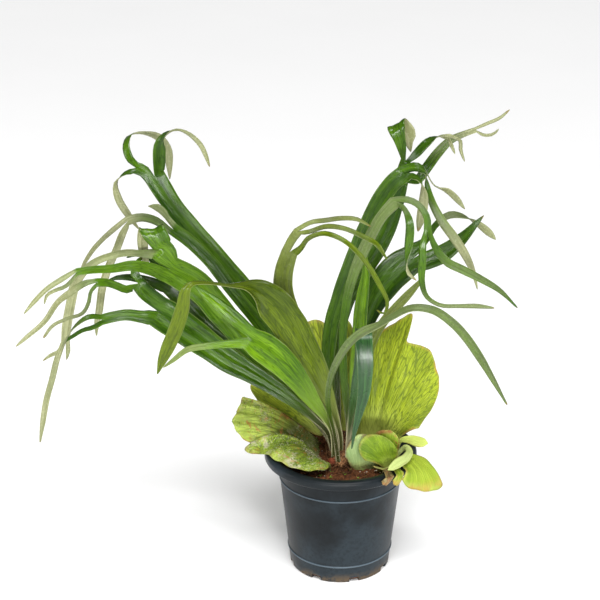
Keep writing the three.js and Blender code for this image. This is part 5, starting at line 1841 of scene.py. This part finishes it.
@dataclass
class Bits:
    """Many small closed bits gathered in one mesh: hairs, fibres, tufts and crumbs, in metres."""

    seed: int
    places: list[Vector] = field(default_factory=list)
    polygons: list[tuple[int, ...]] = field(default_factory=list)

    TUBE_SIDES = 3
    HAIR_BEND = 0.6
    HAIR_TAPER = (1.0, 0.7, 0.15)
    WISP_SWINGS = (1.0, 1.0, 0.45)
    WISP_TAPER = 0.35
    FLAKE_ROWS = ((0.0, 0.35), (0.3, 1.0), (0.65, 0.75), (1.0, 0.08))
    FLAKE_THICKNESS = 0.08
    CRUMB_ROUNDS = 6
    CRUMB_RINGS = 3
    CRUMB_REACH = (0.78, 1.15)

    def __post_init__(self) -> None:
        """Starts the seeded chance."""
        self.chance = random.Random(self.seed)

    def take(self, places: Sequence[Vector], polygons: Sequence[tuple[int, ...]]) -> None:
        """Adds one bit's places and faces.

        Args:
            places: Its places, in metres.
            polygons: Its faces, numbered from its own first place.
        """
        start = len(self.places)
        self.places.extend(places)
        self.polygons.extend(tuple(start + i for i in polygon) for polygon in polygons)

    def tube(self, course: Sequence[Vector], radii: Sequence[float]) -> None:
        """Adds a thin tube with closed ends.

        Args:
            course: Its middle line.
            radii: Its radius at each place of the line.
        """
        sides = self.TUBE_SIDES
        run = (course[-1] - course[0]).normalized()
        first = run.orthogonal().normalized()
        second = run.cross(first)
        places, polygons = [], []
        for place, radius in zip(course, radii):
            for angle in bearings_of(sides):
                places.append(place + (first * math.cos(angle) + second * math.sin(angle)) * radius)
        for low in range(0, len(places) - sides, sides):
            for k in range(sides):
                after = (k + 1) % sides
                polygons.append((low + k, low + after, low + sides + after, low + sides + k))
        polygons.append(tuple(reversed(range(sides))))
        polygons.append(tuple(range(len(places) - sides, len(places))))
        self.take(places, polygons)

    def hair(self, root: Vector, facing: Vector, lean: float,
             lengths: tuple[float, float], radius: float) -> None:
        """Adds a straight hair that leans by chance and tapers to its tip.

        Args:
            root: Where it starts.
            facing: The way the surface looks there.
            lean: How far it may lean.
            lengths: Its least and greatest length, in millimetres.
            radius: Its radius at the root, in millimetres.
        """
        swing = Vector([self.chance.gauss(0, lean) for _ in range(3)])
        tip = root + (facing + swing).normalized() * self.chance.uniform(*lengths) * MM
        radii = [radius * MM * share for share in self.HAIR_TAPER]
        self.tube([root, root.lerp(tip, self.HAIR_BEND), tip], radii)

    def wisp(self, root: Vector, heading: Vector, length: float, radius: float,
             curl: float, steps: int = 6) -> None:
        """Adds a wavy fibre.

        Args:
            root: Where it starts.
            heading: The way it sets off.
            length: Its length.
            radius: Its radius at the root.
            curl: How much it turns on its way.
            steps: How many stretches it has.
        """
        place, run = root.copy(), heading.normalized()
        course, radii = [place.copy()], [radius]
        for k in range(steps):
            swing = Vector([self.chance.gauss(0, side) for side in self.WISP_SWINGS])
            run = (run + swing * curl).normalized()
            place = place + run * (length / steps)
            course.append(place.copy())
            radii.append(radius * lerp(1.0, self.WISP_TAPER, (k + 1) / steps))
        self.tube(course, radii)

    def flake(self, place: Vector, facing: Vector, heading: Vector, size: Sequence[float]) -> None:
        """Adds a thin pointed flake, such as a scale, a chip or a leaflet.

        Args:
            place: Where its foot is.
            facing: The way its face looks.
            heading: The way its tip points.
            size: Its length, its width and how far its tip rises from its plane, in millimetres.
        """
        length, width, bow = (side * MM for side in size)
        run = (heading - facing * heading.dot(facing)).normalized()
        across = run.cross(facing)
        thick = facing * (self.FLAKE_THICKNESS * width)
        places, polygons = [], []
        for share, part in self.FLAKE_ROWS:
            middle = place + run * (length * share) + facing * (bow * share * share)
            for side in (-0.5, 0.5):
                edge = middle + across * (side * width * part)
                places.extend((edge + thick, edge - thick))
        for a in range(0, len(places) - 4, 4):
            b = a + 4
            polygons.extend((
                (a, b, b + 2, a + 2), (a + 1, a + 3, b + 3, b + 1),
                (a, a + 1, b + 1, b), (a + 2, b + 2, b + 3, a + 3),
            ))
        end = len(places) - 4
        polygons.extend(((0, 2, 3, 1), (end, end + 1, end + 3, end + 2)))
        self.take(places, polygons)

    def crumb(self, place: Vector, size: Vector, turn: float) -> None:
        """Adds an irregular lump.

        Args:
            place: Its middle.
            size: Half its length, width and height.
            turn: Its turn about the upright, in radians.
        """
        spin = Matrix.Rotation(turn, 3, "Z")
        rows = []
        for ring in range(self.CRUMB_RINGS):
            tilt = math.pi * (ring + 1) / (self.CRUMB_RINGS + 1)
            row = []
            for angle in bearings_of(self.CRUMB_ROUNDS, 0.5 * ring):
                out = self.chance.uniform(*self.CRUMB_REACH)
                spot = round_place(math.sin(tilt), angle, -math.cos(tilt)) * out
                row.append(place + spin @ (spot * size))
            rows.append(row)
        rise = Vector((0.0, 0.0, size.z))
        self.take(*wrapped(rows[::-1], place + rise, place - rise, turned=True))

    def build(self, name: str, slot: str, finish: EarthFinish) -> None:
        """Makes the gathered bits into a piece.

        Args:
            name: The piece's name.
            slot: A slot of the record; it is not used.
            finish: Its finish.
        """
        accompany(piece(name, self.places, self.polygons, finish.material()))


def scatter(obj: bpy.types.Object, count: int, seed: int) -> list[tuple[Vector, Vector]]:
    """Picks seeded places on the upper face of a frond, more of them where its cells are larger.

    Args:
        obj: The frond.
        count: How many places.
        seed: The chance's seed.

    Returns:
        Each place with the direction that the face looks there.
    """
    chance = random.Random(seed)
    faces = [face for face in obj.data.polygons if face.material_index == 0]
    found = []
    for face in chance.choices(faces, [face.area for face in faces], k=count):
        corners = [obj.data.vertices[i].co for i in face.vertices]
        weights = [chance.random() for _ in corners]
        place = sum((corner * weight for corner, weight in zip(corners, weights)), Vector()) / sum(weights)
        found.append((place, face.normal.copy()))
    return found


@dataclass
class AntlerFrond:
    """An antler frond: its solid's name, where it runs, and its greens."""

    node: str
    tree: Strap
    green: Green
    seed: float
    gloss: float = 0.19
    shine: float = 0.2

    def depth(self, tree: Strap) -> int:
        """Returns how many times the frond forks at most."""
        return 1 + max(self.depth(tine) for tine in tree.tines) if tree.tines else 0

    def build(self) -> bpy.types.Object:
        """Builds the frond's blade, dressed and standing for its solid.

        Returns:
            The blade.
        """
        blade = Blade(self.seed, root_columns=max(16, 4 * 2 ** self.depth(self.tree)))
        blade.grow(self.tree)
        finish = BladeFinish(self.green, self.seed, self.gloss, self.shine)
        sides = [finish.side(self.node, upper) for upper in (True, False)]
        return settle(blade.sheet.build(self.node + "_blade", *sides), self.node)


@dataclass
class NarrowLeaf:
    """A leaf of the offset that is as narrow as a strap, with a shield frond's finish."""

    node: str
    tree: Strap
    finish: FanFinish

    FOOT_LENGTH = 30.0

    def build(self) -> bpy.types.Object:
        """Builds the leaf, dressed and standing for its solid.

        Returns:
            The leaf.
        """
        blade = Blade(self.finish.seed, row_step=2.0, tip_length=4.0, root_columns=16)
        blade.grow(self.tree, walked=self.FOOT_LENGTH)
        marks = blade.sheet.marks
        marks["margin"] = [abs(x) ** 3 for x in marks["across"]]
        marks["out"] = list(marks["along"])
        sides = [self.finish.face(self.node, back) for back in (False, True)]
        return settle(blade.sheet.build(self.node + "_leaf", *sides), self.node)


@dataclass
class ShieldFrond:
    """A shield frond: its solid's name, where it spreads, and its finish."""

    node: str
    fan: Fan
    finish: FanFinish
    net_cell: float
    ragged: float
    net_lift: float

    def build(self) -> bpy.types.Object:
        """Builds the frond's fan, dressed and standing for its solid.

        Returns:
            The fan.
        """
        lay = FanSheet(self.fan, self.finish.seed, self.net_cell, self.ragged, self.net_lift)
        sides = [self.finish.face(self.node, back) for back in (False, True)]
        return settle(lay.lay().build(self.node + "_fan", *sides), self.node)


@dataclass
class NurseryPot:
    """The round nursery pot, in millimetres."""

    body_foot: float = 49.5
    body_top: float = 62.0
    body_height: float = 114.0
    wall: float = 1.8
    floor: float = 2.4
    rings: tuple[float, ...] = (18.0, 95.0)
    ring_rise: float = 0.9
    ring_half: float = 1.2
    notches: int = 8
    notch_width: float = 10.0
    notch_height: float = 4.0
    notch_reach: float = 5.0
    sides: int = 168
    ovalness: float = 0.0022

    NOTCH_TURN = 0.35
    NOTCH_EDGE = 0.0012
    NOTCH_CLEAR = 0.004
    SHARP_ANGLE = 50.0
    WALL_HEIGHTS = range(8, 109, 5)
    RING_STEPS = (0.3, 0.7, 1.2, 2.2, 3.2)
    RIM = (
        (62.4, 113.7), (63.4, 114.1), (72.4, 114.5), (73.6, 114.9), (74.5, 115.6), (75.0, 116.6),
        (75.0, 120.6), (74.7, 121.9), (74.0, 122.9), (73.0, 123.6), (71.6, 124.0), (70.2, 124.0),
        (68.4, 123.8), (66.8, 123.2), (65.7, 122.4), (65.0, 121.2), (64.1, 118.0),
    )

    def radius(self, height: float) -> float:
        """Returns the outer radius of the tapered body at a height."""
        return self.body_foot + (self.body_top - self.body_foot) * height / self.body_height

    def profile(self, foot: float) -> list[tuple[float, float]]:
        """Returns the pot's line from the underside over the rim and down to its floor.

        Args:
            foot: The height at which the wall starts, above 0 in a notch.

        Returns:
            Pairs of radius and height.
        """
        inner_foot = self.body_foot - self.notch_reach
        line = [(inner_foot, 0.0), (inner_foot + 0.2, foot), (self.body_foot - 0.9, foot)]
        line += [(self.body_foot - 0.25, foot + 0.3), (self.radius(foot + 1.0), foot + 1.0)]
        clear = max(self.RING_STEPS) + 0.2
        heights = {
            float(height) for height in self.WALL_HEIGHTS
            if all(abs(height - ring) > clear for ring in self.rings)
        }
        for step in self.RING_STEPS:
            heights.update(ring + side * step for ring in self.rings for side in (-1, 1))
        for height in sorted(heights):
            apart = min(abs(height - ring) for ring in self.rings)
            rise = self.ring_rise * math.sqrt(max(0.0, 1 - (apart / self.ring_half) ** 2))
            line.append((self.radius(height) + rise, height))
        line += [(self.radius(112.0), 112.0), (self.radius(112.8), 112.9), *self.RIM]
        top = self.body_height - 3
        mouth = self.radius(top) - self.wall
        inside = self.radius(self.floor) - self.wall
        line += [(mouth + 0.9, top + 3), (mouth, top)]
        return line + [(inside, self.floor + 1.2), (inside - 1.2, self.floor)]

    def bearings(self) -> list[tuple[float, float]]:
        """Returns the bearings of the pot's columns, each with the height at which its wall starts.

        Returns:
            Pairs of bearing and height, in order round the pot.
        """
        half = self.notch_width / 2 / self.body_foot
        middles = bearings_of(self.notches, self.NOTCH_TURN)
        found = []
        for angle in bearings_of(self.sides):
            apart = min(abs((angle - middle + math.pi) % (2 * math.pi) - math.pi) for middle in middles)
            if abs(apart - half) > self.NOTCH_CLEAR:
                found.append((angle, self.notch_height if apart < half else 0.0))
        for middle in middles:
            for side in (-1, 1):
                found.append((middle + side * (half - self.NOTCH_EDGE), self.notch_height))
                found.append((middle + side * (half + self.NOTCH_EDGE), 0.0))
        return sorted((angle % (2 * math.pi), foot) for angle, foot in found)

    def build(self) -> None:
        """Builds the pot's shell, which stands for its solid."""
        columns = []
        for angle, foot in self.bearings():
            oval = 1 + self.ovalness * math.sin(2 * angle + 0.6)
            columns.append([round_place(radius * oval, angle, height) * MM
                            for radius, height in self.profile(foot)])
        middle = Vector((0.0, 0.0, self.floor * MM))
        rows = [list(row) for row in zip(*columns)]
        places, polygons = wrapped(rows[::-1], middle, Vector((0.0, 0.0, 0.0)), turned=True)
        obj = piece("pot_shell", places, polygons, PlasticFinish(self.rings).material())
        obj.data.set_sharp_from_angle(angle=math.radians(self.SHARP_ANGLE))
        settle(obj, "pot")


@dataclass
class PottingMix:
    """The coir and bark that fill the pot, in millimetres."""

    level: float = 112.0
    foot: float = 2.7
    top_radius: float = 59.5
    foot_radius: float = 47.7
    rings: int = 44
    rounds: int = 150
    fibres: int = 620
    chips: int = 240
    grains: int = 90
    sprouts: int = 46

    BORDER = 2.5
    RING_SPREAD = 0.85
    FIBRE_LENGTHS = (4.0, 14.0)
    FIBRE_RISES = (-0.05, 0.16)
    FIBRE_RADIUS = 0.16
    FIBRE_CURL = 0.24
    CHIP_SPANS = ((1.0, 2.8), (0.7, 1.7), (0.4, 0.9))
    GRAIN_SIZES = (0.35, 0.95)
    GRAIN_SHAPE = Vector((1.0, 0.9, 0.7))
    SPROUTS_FROM = 0.45
    SPROUT_LENGTHS = (1.4, 2.8)

    def height(self, x: float, y: float) -> float:
        """Returns the height of the mix's lumpy top at a place.

        Args:
            x: The place's distance to the right.
            y: Its distance to the back.

        Returns:
            The height.
        """
        lump = math.sin(0.41 * x + 0.3) * math.cos(0.37 * y) + 0.6 * math.sin(0.93 * x - 0.71 * y)
        coarse = noise.noise(Vector((x * 0.22, y * 0.22, 3.1)))
        fine = noise.noise(Vector((x * 0.75, y * 0.75, 8.4)))
        return self.level + 1.0 * lump + 1.3 * coarse + 0.7 * fine

    def top(self, radius: float, angle: float) -> Vector:
        """Returns the place on the top at a radius and a bearing.

        Args:
            radius: The distance from the pot's middle.
            angle: The bearing, in radians.

        Returns:
            The place.
        """
        place = round_place(radius, angle, 0.0)
        place.z = self.height(radius * math.cos(angle), radius * math.sin(angle))
        return place

    def body(self) -> None:
        """Builds the closed body of the mix, which stands for its solid."""
        bearings = bearings_of(self.rounds)
        shares = [(ring / self.rings) ** self.RING_SPREAD for ring in range(1, self.rings + 1)]
        rows = [[self.top(self.top_radius * share, angle) * MM for angle in bearings] for share in shares]
        rows.append([round_place(self.foot_radius, angle, self.foot) * MM for angle in bearings])
        shape = wrapped(rows, self.top(0, 0) * MM, Vector((0.0, 0.0, self.foot)) * MM)
        coir = EarthFinish("coir", "2a160c", "7a4a2c", 420.0)
        settle(piece("potting_mix_body", *shape, coir.material()), "potting_mix")

    def spot(self, chance: random.Random, lift: float, low: float = 0.0) -> Vector:
        """Returns a chance place a little above the top.

        Args:
            chance: The bits' seeded chance.
            lift: How far above the top.
            low: The share of the top's radius inside which nothing lies.

        Returns:
            The place.
        """
        radius = math.sqrt(chance.uniform(low * low, 1)) * (self.top_radius - self.BORDER)
        return self.top(radius, chance.uniform(0, 2 * math.pi)) + Vector((0, 0, lift))

    def litter(self) -> None:
        """Builds what lies on the mix: fibres, bark chips, pale grains and tiny sprouts."""
        fibres, chips, grains, sprouts = Bits(11), Bits(12), Bits(13), Bits(14)
        for _ in range(self.fibres):
            place = self.spot(fibres.chance, 0.2)
            angle = fibres.chance.uniform(0, 2 * math.pi)
            heading = round_place(1.0, angle, fibres.chance.uniform(*self.FIBRE_RISES))
            length = fibres.chance.uniform(*self.FIBRE_LENGTHS)
            if place.xy.length + length > self.top_radius - 1:
                heading = Vector((-place.x, -place.y, 2.0))
            fibres.wisp(place * MM, heading, length * MM, self.FIBRE_RADIUS * MM, self.FIBRE_CURL)
        for _ in range(self.chips):
            place = self.spot(chips.chance, 0.2)
            size = Vector([chips.chance.uniform(*span) for span in self.CHIP_SPANS])
            chips.crumb(place * MM, size * MM, chips.chance.uniform(0, math.pi))
        for _ in range(self.grains):
            place = self.spot(grains.chance, 0.5)
            size = self.GRAIN_SHAPE * grains.chance.uniform(*self.GRAIN_SIZES)
            grains.crumb(place * MM, size * MM, 0.0)
        for _ in range(self.sprouts):
            place = self.spot(sprouts.chance, 0.3, self.SPROUTS_FROM)
            for _ in range(sprouts.chance.randint(2, 4)):
                angle = sprouts.chance.uniform(0, 2 * math.pi)
                facing = round_place(-0.4, angle, 1.0).normalized()
                long = sprouts.chance.uniform(*self.SPROUT_LENGTHS)
                sprouts.flake(place * MM, facing, round_place(1.0, angle, 0.5), (long, long * 0.5, 0.4))
        fibres.build("coir_fibres", "potting_mix", EarthFinish("coir_fibre", "5a3219", "b07a4c", 500.0))
        chips.build("bark_chips", "potting_mix", EarthFinish("bark", "2b1810", "6b4630", 380.0))
        grains.build("pale_grains", "potting_mix", EarthFinish("pale_grain", "b9ad97", "e9e3d4", 700.0))
        sprouts.build("tiny_sprouts", "potting_mix", EarthFinish("sprout_green", "4f7a1f", "9ec24a", 500.0))

    def build(self) -> None:
        """Builds the mix and its litter."""
        self.body()
        self.litter()


@dataclass
class Crown:
    """The scaly rhizome from which the fronds rise, with its bud and roots, in millimetres."""

    rounds: int = 64
    rings: int = 30
    scales: int = 900
    roots: int = 34
    bud_scales: int = 150

    SETTLED = 0.985
    SCALE_LENGTHS = (2.2, 4.6)
    SCALE_WIDTH = 0.36
    SCALE_BOW = 0.25
    ROOT_BEARINGS = (-2.4, -0.5)
    ROOT_TILTS = (70.0, 96.0)
    ROOT_LENGTHS = (12.0, 26.0)
    ROOT_RADII = (0.35, 0.8)
    ROOT_CURL = 0.16
    ROOT_STEPS = 8
    BUD_CENTRE = Vector((-9.0, -17.5, 116.0))
    BUD_HALF = Vector((3.3, 3.4, 3.8))
    BUD_CORE = Vector((3.4, 3.6, 4.0))
    BUD_SCALE = (2.6, 1.1, 0.7)
    GOLDEN_TURN = 2.39996

    def point(self, angle: float, tilt: float) -> tuple[Vector, Vector]:
        """Returns a place on the crown and the way its surface looks there.

        Args:
            angle: The bearing, in radians.
            tilt: The angle from the top, in radians.

        Returns:
            The place and the direction.
        """
        way = round_place(math.sin(tilt), angle, math.cos(tilt))
        spot = way * CROWN_HALF
        facing = Vector([part / half for part, half in zip(way, CROWN_HALF)]).normalized()
        rough = 0.7 * noise.noise(spot * 0.28) + 0.35 * noise.noise(spot * 0.9)
        return CROWN_CENTRE + spot * self.SETTLED + facing * rough, facing

    def body(self) -> None:
        """Builds the crown's lumpy body, which stands for its solid."""
        rows = [
            [self.point(angle, math.pi * ring / self.rings)[0] * MM for angle in bearings_of(self.rounds)]
            for ring in range(1, self.rings)
        ]
        shape = wrapped(rows, self.point(0, 0)[0] * MM, self.point(0, math.pi)[0] * MM)
        bark = EarthFinish("rhizome_bark", "2c1a10", "7a5436", 520.0)
        settle(piece("rhizome_body", *shape, bark.material()), "rhizome")

    def dress(self) -> None:
        """Builds the papery scales, the bud and the roots that lie on the mix."""
        scales, roots, bud = Bits(21), Bits(22), Bits(23)
        for _ in range(self.scales):
            angle = scales.chance.uniform(0, 2 * math.pi)
            place, facing = self.point(angle, math.acos(scales.chance.uniform(-0.2, 1)))
            heading = Vector((facing.x, facing.y - 0.5, 0.7))
            length = scales.chance.uniform(*self.SCALE_LENGTHS)
            size = (length, length * self.SCALE_WIDTH, length * self.SCALE_BOW)
            scales.flake(place * MM, facing, heading, size)
        for _ in range(self.roots):
            angle = roots.chance.uniform(*self.ROOT_BEARINGS)
            place, facing = self.point(angle, math.radians(roots.chance.uniform(*self.ROOT_TILTS)))
            length = roots.chance.uniform(*self.ROOT_LENGTHS)
            radius = roots.chance.uniform(*self.ROOT_RADII)
            heading = Vector((facing.x, facing.y, -0.12))
            roots.wisp(place * MM, heading, length * MM, radius * MM, self.ROOT_CURL, self.ROOT_STEPS)
        bud.crumb(self.BUD_CENTRE * MM, self.BUD_CORE * MM, 0.4)
        for k in range(self.bud_scales):
            rise = 1 - 1.6 * (k / self.bud_scales)
            way = round_place(math.sqrt(max(0.05, 1 - rise * rise)), k * self.GOLDEN_TURN, rise)
            place = self.BUD_CENTRE + way * self.BUD_HALF
            bud.flake(place * MM, way.normalized(), Vector((0, 0, 1)) + way * 0.4, self.BUD_SCALE)
        scales.build("rhizome_scales", "rhizome", EarthFinish("papery_scale", "5a3820", "b98a5e", 600.0))
        roots.build("rhizome_roots", "rhizome", EarthFinish("root_brown", "3a2214", "8a5e3e", 600.0))
        bud.build("rhizome_bud", "rhizome", EarthFinish("bud_scale", "54261a", "a0563a", 600.0))

    def build(self) -> None:
        """Builds the crown and what grows on it."""
        self.body()
        self.dress()


ANTLERS = (
    AntlerFrond("frond_left_front", FRONT_LEFT, Green.BRIGHT, 1.3),
    AntlerFrond("frond_left_crest", CREST_LEFT, Green.OLIVE, 2.7),
    AntlerFrond("frond_left_broad", BROAD_LEFT, Green.MID, 3.9),
    AntlerFrond("frond_left_arched", ARCHED_LEFT, Green.FRESH, 4.4),
    AntlerFrond("frond_left_dark", DARK_LEFT, Green.DARK, 5.8),
    AntlerFrond("frond_left_wispy", WISPY_LEFT, Green.MID, 6.1),
    AntlerFrond("frond_left_tall", TALL_LEFT, Green.MID, 7.2),
    AntlerFrond("frond_middle_arch", ARCH_MIDDLE, Green.OLIVE, 8.5),
    AntlerFrond("frond_right_front", FRONT_RIGHT, Green.MID, 9.6),
    AntlerFrond("frond_right_hanging", HANGING_RIGHT, Green.GLOSSY, 10.8, 0.28, 0.42),
    AntlerFrond("frond_right_star", STAR_RIGHT, Green.MID, 11.4),
    AntlerFrond("frond_right_upright", UPRIGHT_RIGHT, Green.BRIGHT, 12.9),
    AntlerFrond("frond_right_tall", TALL_RIGHT, Green.MID, 13.5),
    AntlerFrond("frond_right_low", LOW_RIGHT, Green.OLIVE, 14.2),
    AntlerFrond("frond_right_dark", DARK_RIGHT, Green.DARK, 15.7),
    AntlerFrond("frond_right_highest", HIGHEST_RIGHT, Green.MID, 16.6),
)
DISC_FINISH = FanFinish(Lime.PALE, 45.0, 0.5, net_strength=0.3)
PAD_FINISH = FanFinish(Lime.FRESH, 46.0, 0.35, net_width=2.0, net_strength=0.45)
CURL_FINISH = FanFinish(Lime.FRESH, 47.0, 0.9, net_strength=0.35)
TONGUE_FINISH = FanFinish(Lime.YELLOW, 49.0, 0.4, net_strength=0.25)
SHIELDS = (
    NarrowLeaf("offset_pointed", OFFSET_POINTED, FanFinish(Lime.PALE, 31.0, 0.2, net_strength=0.25)),
    NarrowLeaf("offset_lobe", OFFSET_LOBE, FanFinish(Lime.YELLOW, 32.0, 0.3, net_strength=0.2)),
    ShieldFrond("shield_right", SHIELD_RIGHT, FanFinish(Lime.GOLD, 41.0, 0.4), 5.4, 1.1, 0.34),
    ShieldFrond("shield_back", SHIELD_BACK, FanFinish(Lime.GOLD, 42.0, 0.3), 5.4, 1.0, 0.3),
    ShieldFrond("shield_left", SHIELD_LEFT, FanFinish(Lime.LEFT, 43.0, 0.9, 0.3), 5.2, 1.4, 0.3),
    ShieldFrond("shield_mossy", SHIELD_MOSSY, FanFinish(Lime.MOSSY, 44.0, 1.0, 0.8), 4.6, 1.2, 0.25),
    ShieldFrond("offset_disc", OFFSET_DISC, DISC_FINISH, 3.8, 0.4, 0.18),
    ShieldFrond("offset_pad", OFFSET_PAD, PAD_FINISH, 3.8, 0.4, 0.18),
    ShieldFrond("offset_curl", OFFSET_CURL, CURL_FINISH, 3.8, 0.3, 0.16),
    ShieldFrond("offset_under", OFFSET_UNDER, FanFinish(Lime.FRESH, 48.0, 0.55), 3.8, 0.4, 0.18),
    ShieldFrond("offset_tongue", OFFSET_TONGUE, TONGUE_FINISH, 4.2, 0.5, 0.22),
    ShieldFrond("strip_dry", DRY_STRIP, FanFinish(Lime.DRY, 50.0, 0.6), 3.0, 0.5, 0.15),
    ShieldFrond("strip_green", GREEN_STRIP, FanFinish(Lime.YELLOW, 51.0, 0.5), 3.0, 0.4, 0.15),
)


@dataclass
class Fern:
    """All the fronds of the plant, with the hairs and moss that grow on them."""

    shield_hairs: tuple[tuple[str, int], ...] = (("shield_mossy", 900), ("shield_left", 260))
    shield_tufts: tuple[tuple[str, int], ...] = (("shield_mossy", 1500), ("shield_left", 500))
    stalk_hairs: int = 1200
    felt_full: float = 0.118
    felt_fade: float = 0.04
    felt_top: float = 0.16

    SHIELD_HAIR_LENGTHS = (1.2, 3.4)
    STALK_HAIR_LENGTHS = (0.5, 1.1)
    TUFT_LENGTHS = (0.7, 1.7)

    def grow_hairs(self, made: dict[str, bpy.types.Object]) -> None:
        """Builds the pale hairs of the old shields and of the stalks' feet.

        Args:
            made: The fronds by their solids' names.
        """
        hairs = Bits(61)
        for node, count in self.shield_hairs:
            for place, facing in scatter(made[node], count, 63 + count):
                if noise.noise(place * 60) >= 0.02:
                    hairs.hair(place, facing, 0.8, self.SHIELD_HAIR_LENGTHS, 0.07)
        for frond in ANTLERS:
            for place, facing in scatter(made[frond.node], self.stalk_hairs, 263):
                if place.z > self.felt_top:
                    continue
                if hairs.chance.random() >= (place.z - self.felt_full) / self.felt_fade:
                    hairs.hair(place, facing, 0.7, self.STALK_HAIR_LENGTHS, 0.045)
        hairs.build("pale_hairs", "shield_mossy", EarthFinish("pale_hair", "b5ab92", "e8e3d2", 700.0))

    def grow_moss(self, made: dict[str, bpy.types.Object]) -> None:
        """Builds the tufts of moss on the old shields.

        Args:
            made: The fronds by their solids' names.
        """
        moss = Bits(62)
        for node, count in self.shield_tufts:
            for place, facing in scatter(made[node], count, 163 + count):
                if noise.noise(place * 48 + Vector((3.0, 1.0, 7.0))) < 0.04:
                    continue
                heading = Vector([moss.chance.gauss(0, 1) for _ in range(3)])
                long = moss.chance.uniform(*self.TUFT_LENGTHS)
                moss.flake(place, facing, heading, (long, 0.45 * long, 0.7 * long))
        moss.build("shield_moss", "shield_mossy", EarthFinish("moss_green", "31490f", "7f9a35", 600.0))

    def build(self) -> None:
        """Builds every frond, then the hairs and the moss that grow on them."""
        made = {frond.node: frond.build() for frond in (*ANTLERS, *SHIELDS)}
        self.grow_hairs(made)
        self.grow_moss(made)


@dataclass(frozen=True)
class SoftLight:
    """A soft light that looks at the plant, in metres and watts."""

    name: str
    place: tuple[float, float, float]
    width: float
    height: float
    power: float

    TARGET = Vector((0.0, 0.0, 0.22))

    def hang(self) -> None:
        """Hangs the light."""
        lamp = bpy.data.lights.new(self.name, "AREA")
        lamp.shape = "RECTANGLE"
        lamp.size = self.width
        lamp.size_y = self.height
        lamp.energy = self.power
        obj = linked(bpy.data.objects.new(self.name, lamp))
        obj.location = self.place
        obj.rotation_euler = (self.TARGET - obj.location).to_track_quat("-Z", "Y").to_euler()


@dataclass
class Studio:
    """The pale floor, the soft lights and the camera."""

    reach: float = 9.0
    rounds: int = 48
    floor_height: float = -0.0004
    sun_power: float = 2.5
    sun_angle: float = 34.0
    sun_turn: tuple[float, float, float] = (27.0, 10.0, 0.0)
    sky_power: float = 0.22

    FLOOR_SHARES = (0.05, 0.12, 0.25, 0.5, 0.8, 1.0)
    LIGHTS = (
        SoftLight("key_light", (-0.35, -1.2, 2.1), 0.5, 0.3, 14.0),
        SoftLight("low_front_light", (0.0, -2.1, 0.42), 1.8, 0.3, 50.0),
        SoftLight("left_light", (-1.7, -0.2, 0.7), 0.5, 0.5, 8.0),
        SoftLight("right_light", (1.7, -0.2, 0.8), 0.5, 0.5, 9.0),
    )

    def floor(self) -> None:
        """Builds the floor, a wide round sheet of pale paper."""
        rows = [
            [round_place(self.reach * share, angle, self.floor_height) for angle in bearings_of(self.rounds)]
            for share in self.FLOOR_SHARES
        ]
        shape = wrapped(rows, Vector((0.0, 0.0, self.floor_height)))
        piece("studio_floor", *shape, PaperFinish().material())

    def sky(self) -> None:
        """Hangs the wide overhead light and sets the pale surroundings."""
        sun = bpy.data.lights.new("sky_light", "SUN")
        sun.energy = self.sun_power
        sun.angle = math.radians(self.sun_angle)
        overhead = linked(bpy.data.objects.new("sky_light", sun))
        overhead.rotation_euler = [math.radians(turn) for turn in self.sun_turn]
        world = bpy.data.worlds.new("studio_world")
        world.use_nodes = True
        background = world.node_tree.nodes["Background"]
        background.inputs["Color"].default_value = (1.0, 1.0, 1.0, 1.0)
        background.inputs["Strength"].default_value = self.sky_power
        bpy.context.scene.world = world

    def camera(self) -> None:
        """Sets up the camera at the photograph's place and angle."""
        lens = bpy.data.cameras.new("studio_camera")
        lens.lens = LENS
        lens.sensor_width = 36.0
        camera = linked(bpy.data.objects.new("studio_camera", lens))
        camera.location = EYE * MM
        camera.rotation_euler = (math.radians(90 - EYE_TILT), 0.0, 0.0)
        bpy.context.scene.camera = camera

    def build(self) -> None:
        """Builds the studio."""
        self.floor()
        for light in self.LIGHTS:
            light.hang()
        self.sky()
        self.camera()
        bpy.context.scene.view_settings.view_transform = "Standard"
        bpy.context.scene.view_settings.look = "None"


def main() -> None:
    """Builds the studio and the plant."""
    logging.basicConfig(level=logging.INFO, format="%(name)s: %(message)s")
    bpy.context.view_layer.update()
    Studio().build()
    NurseryPot().build()
    PottingMix().build()
    Crown().build()
    Fern().build()


if __name__ == "__main__":
    main()
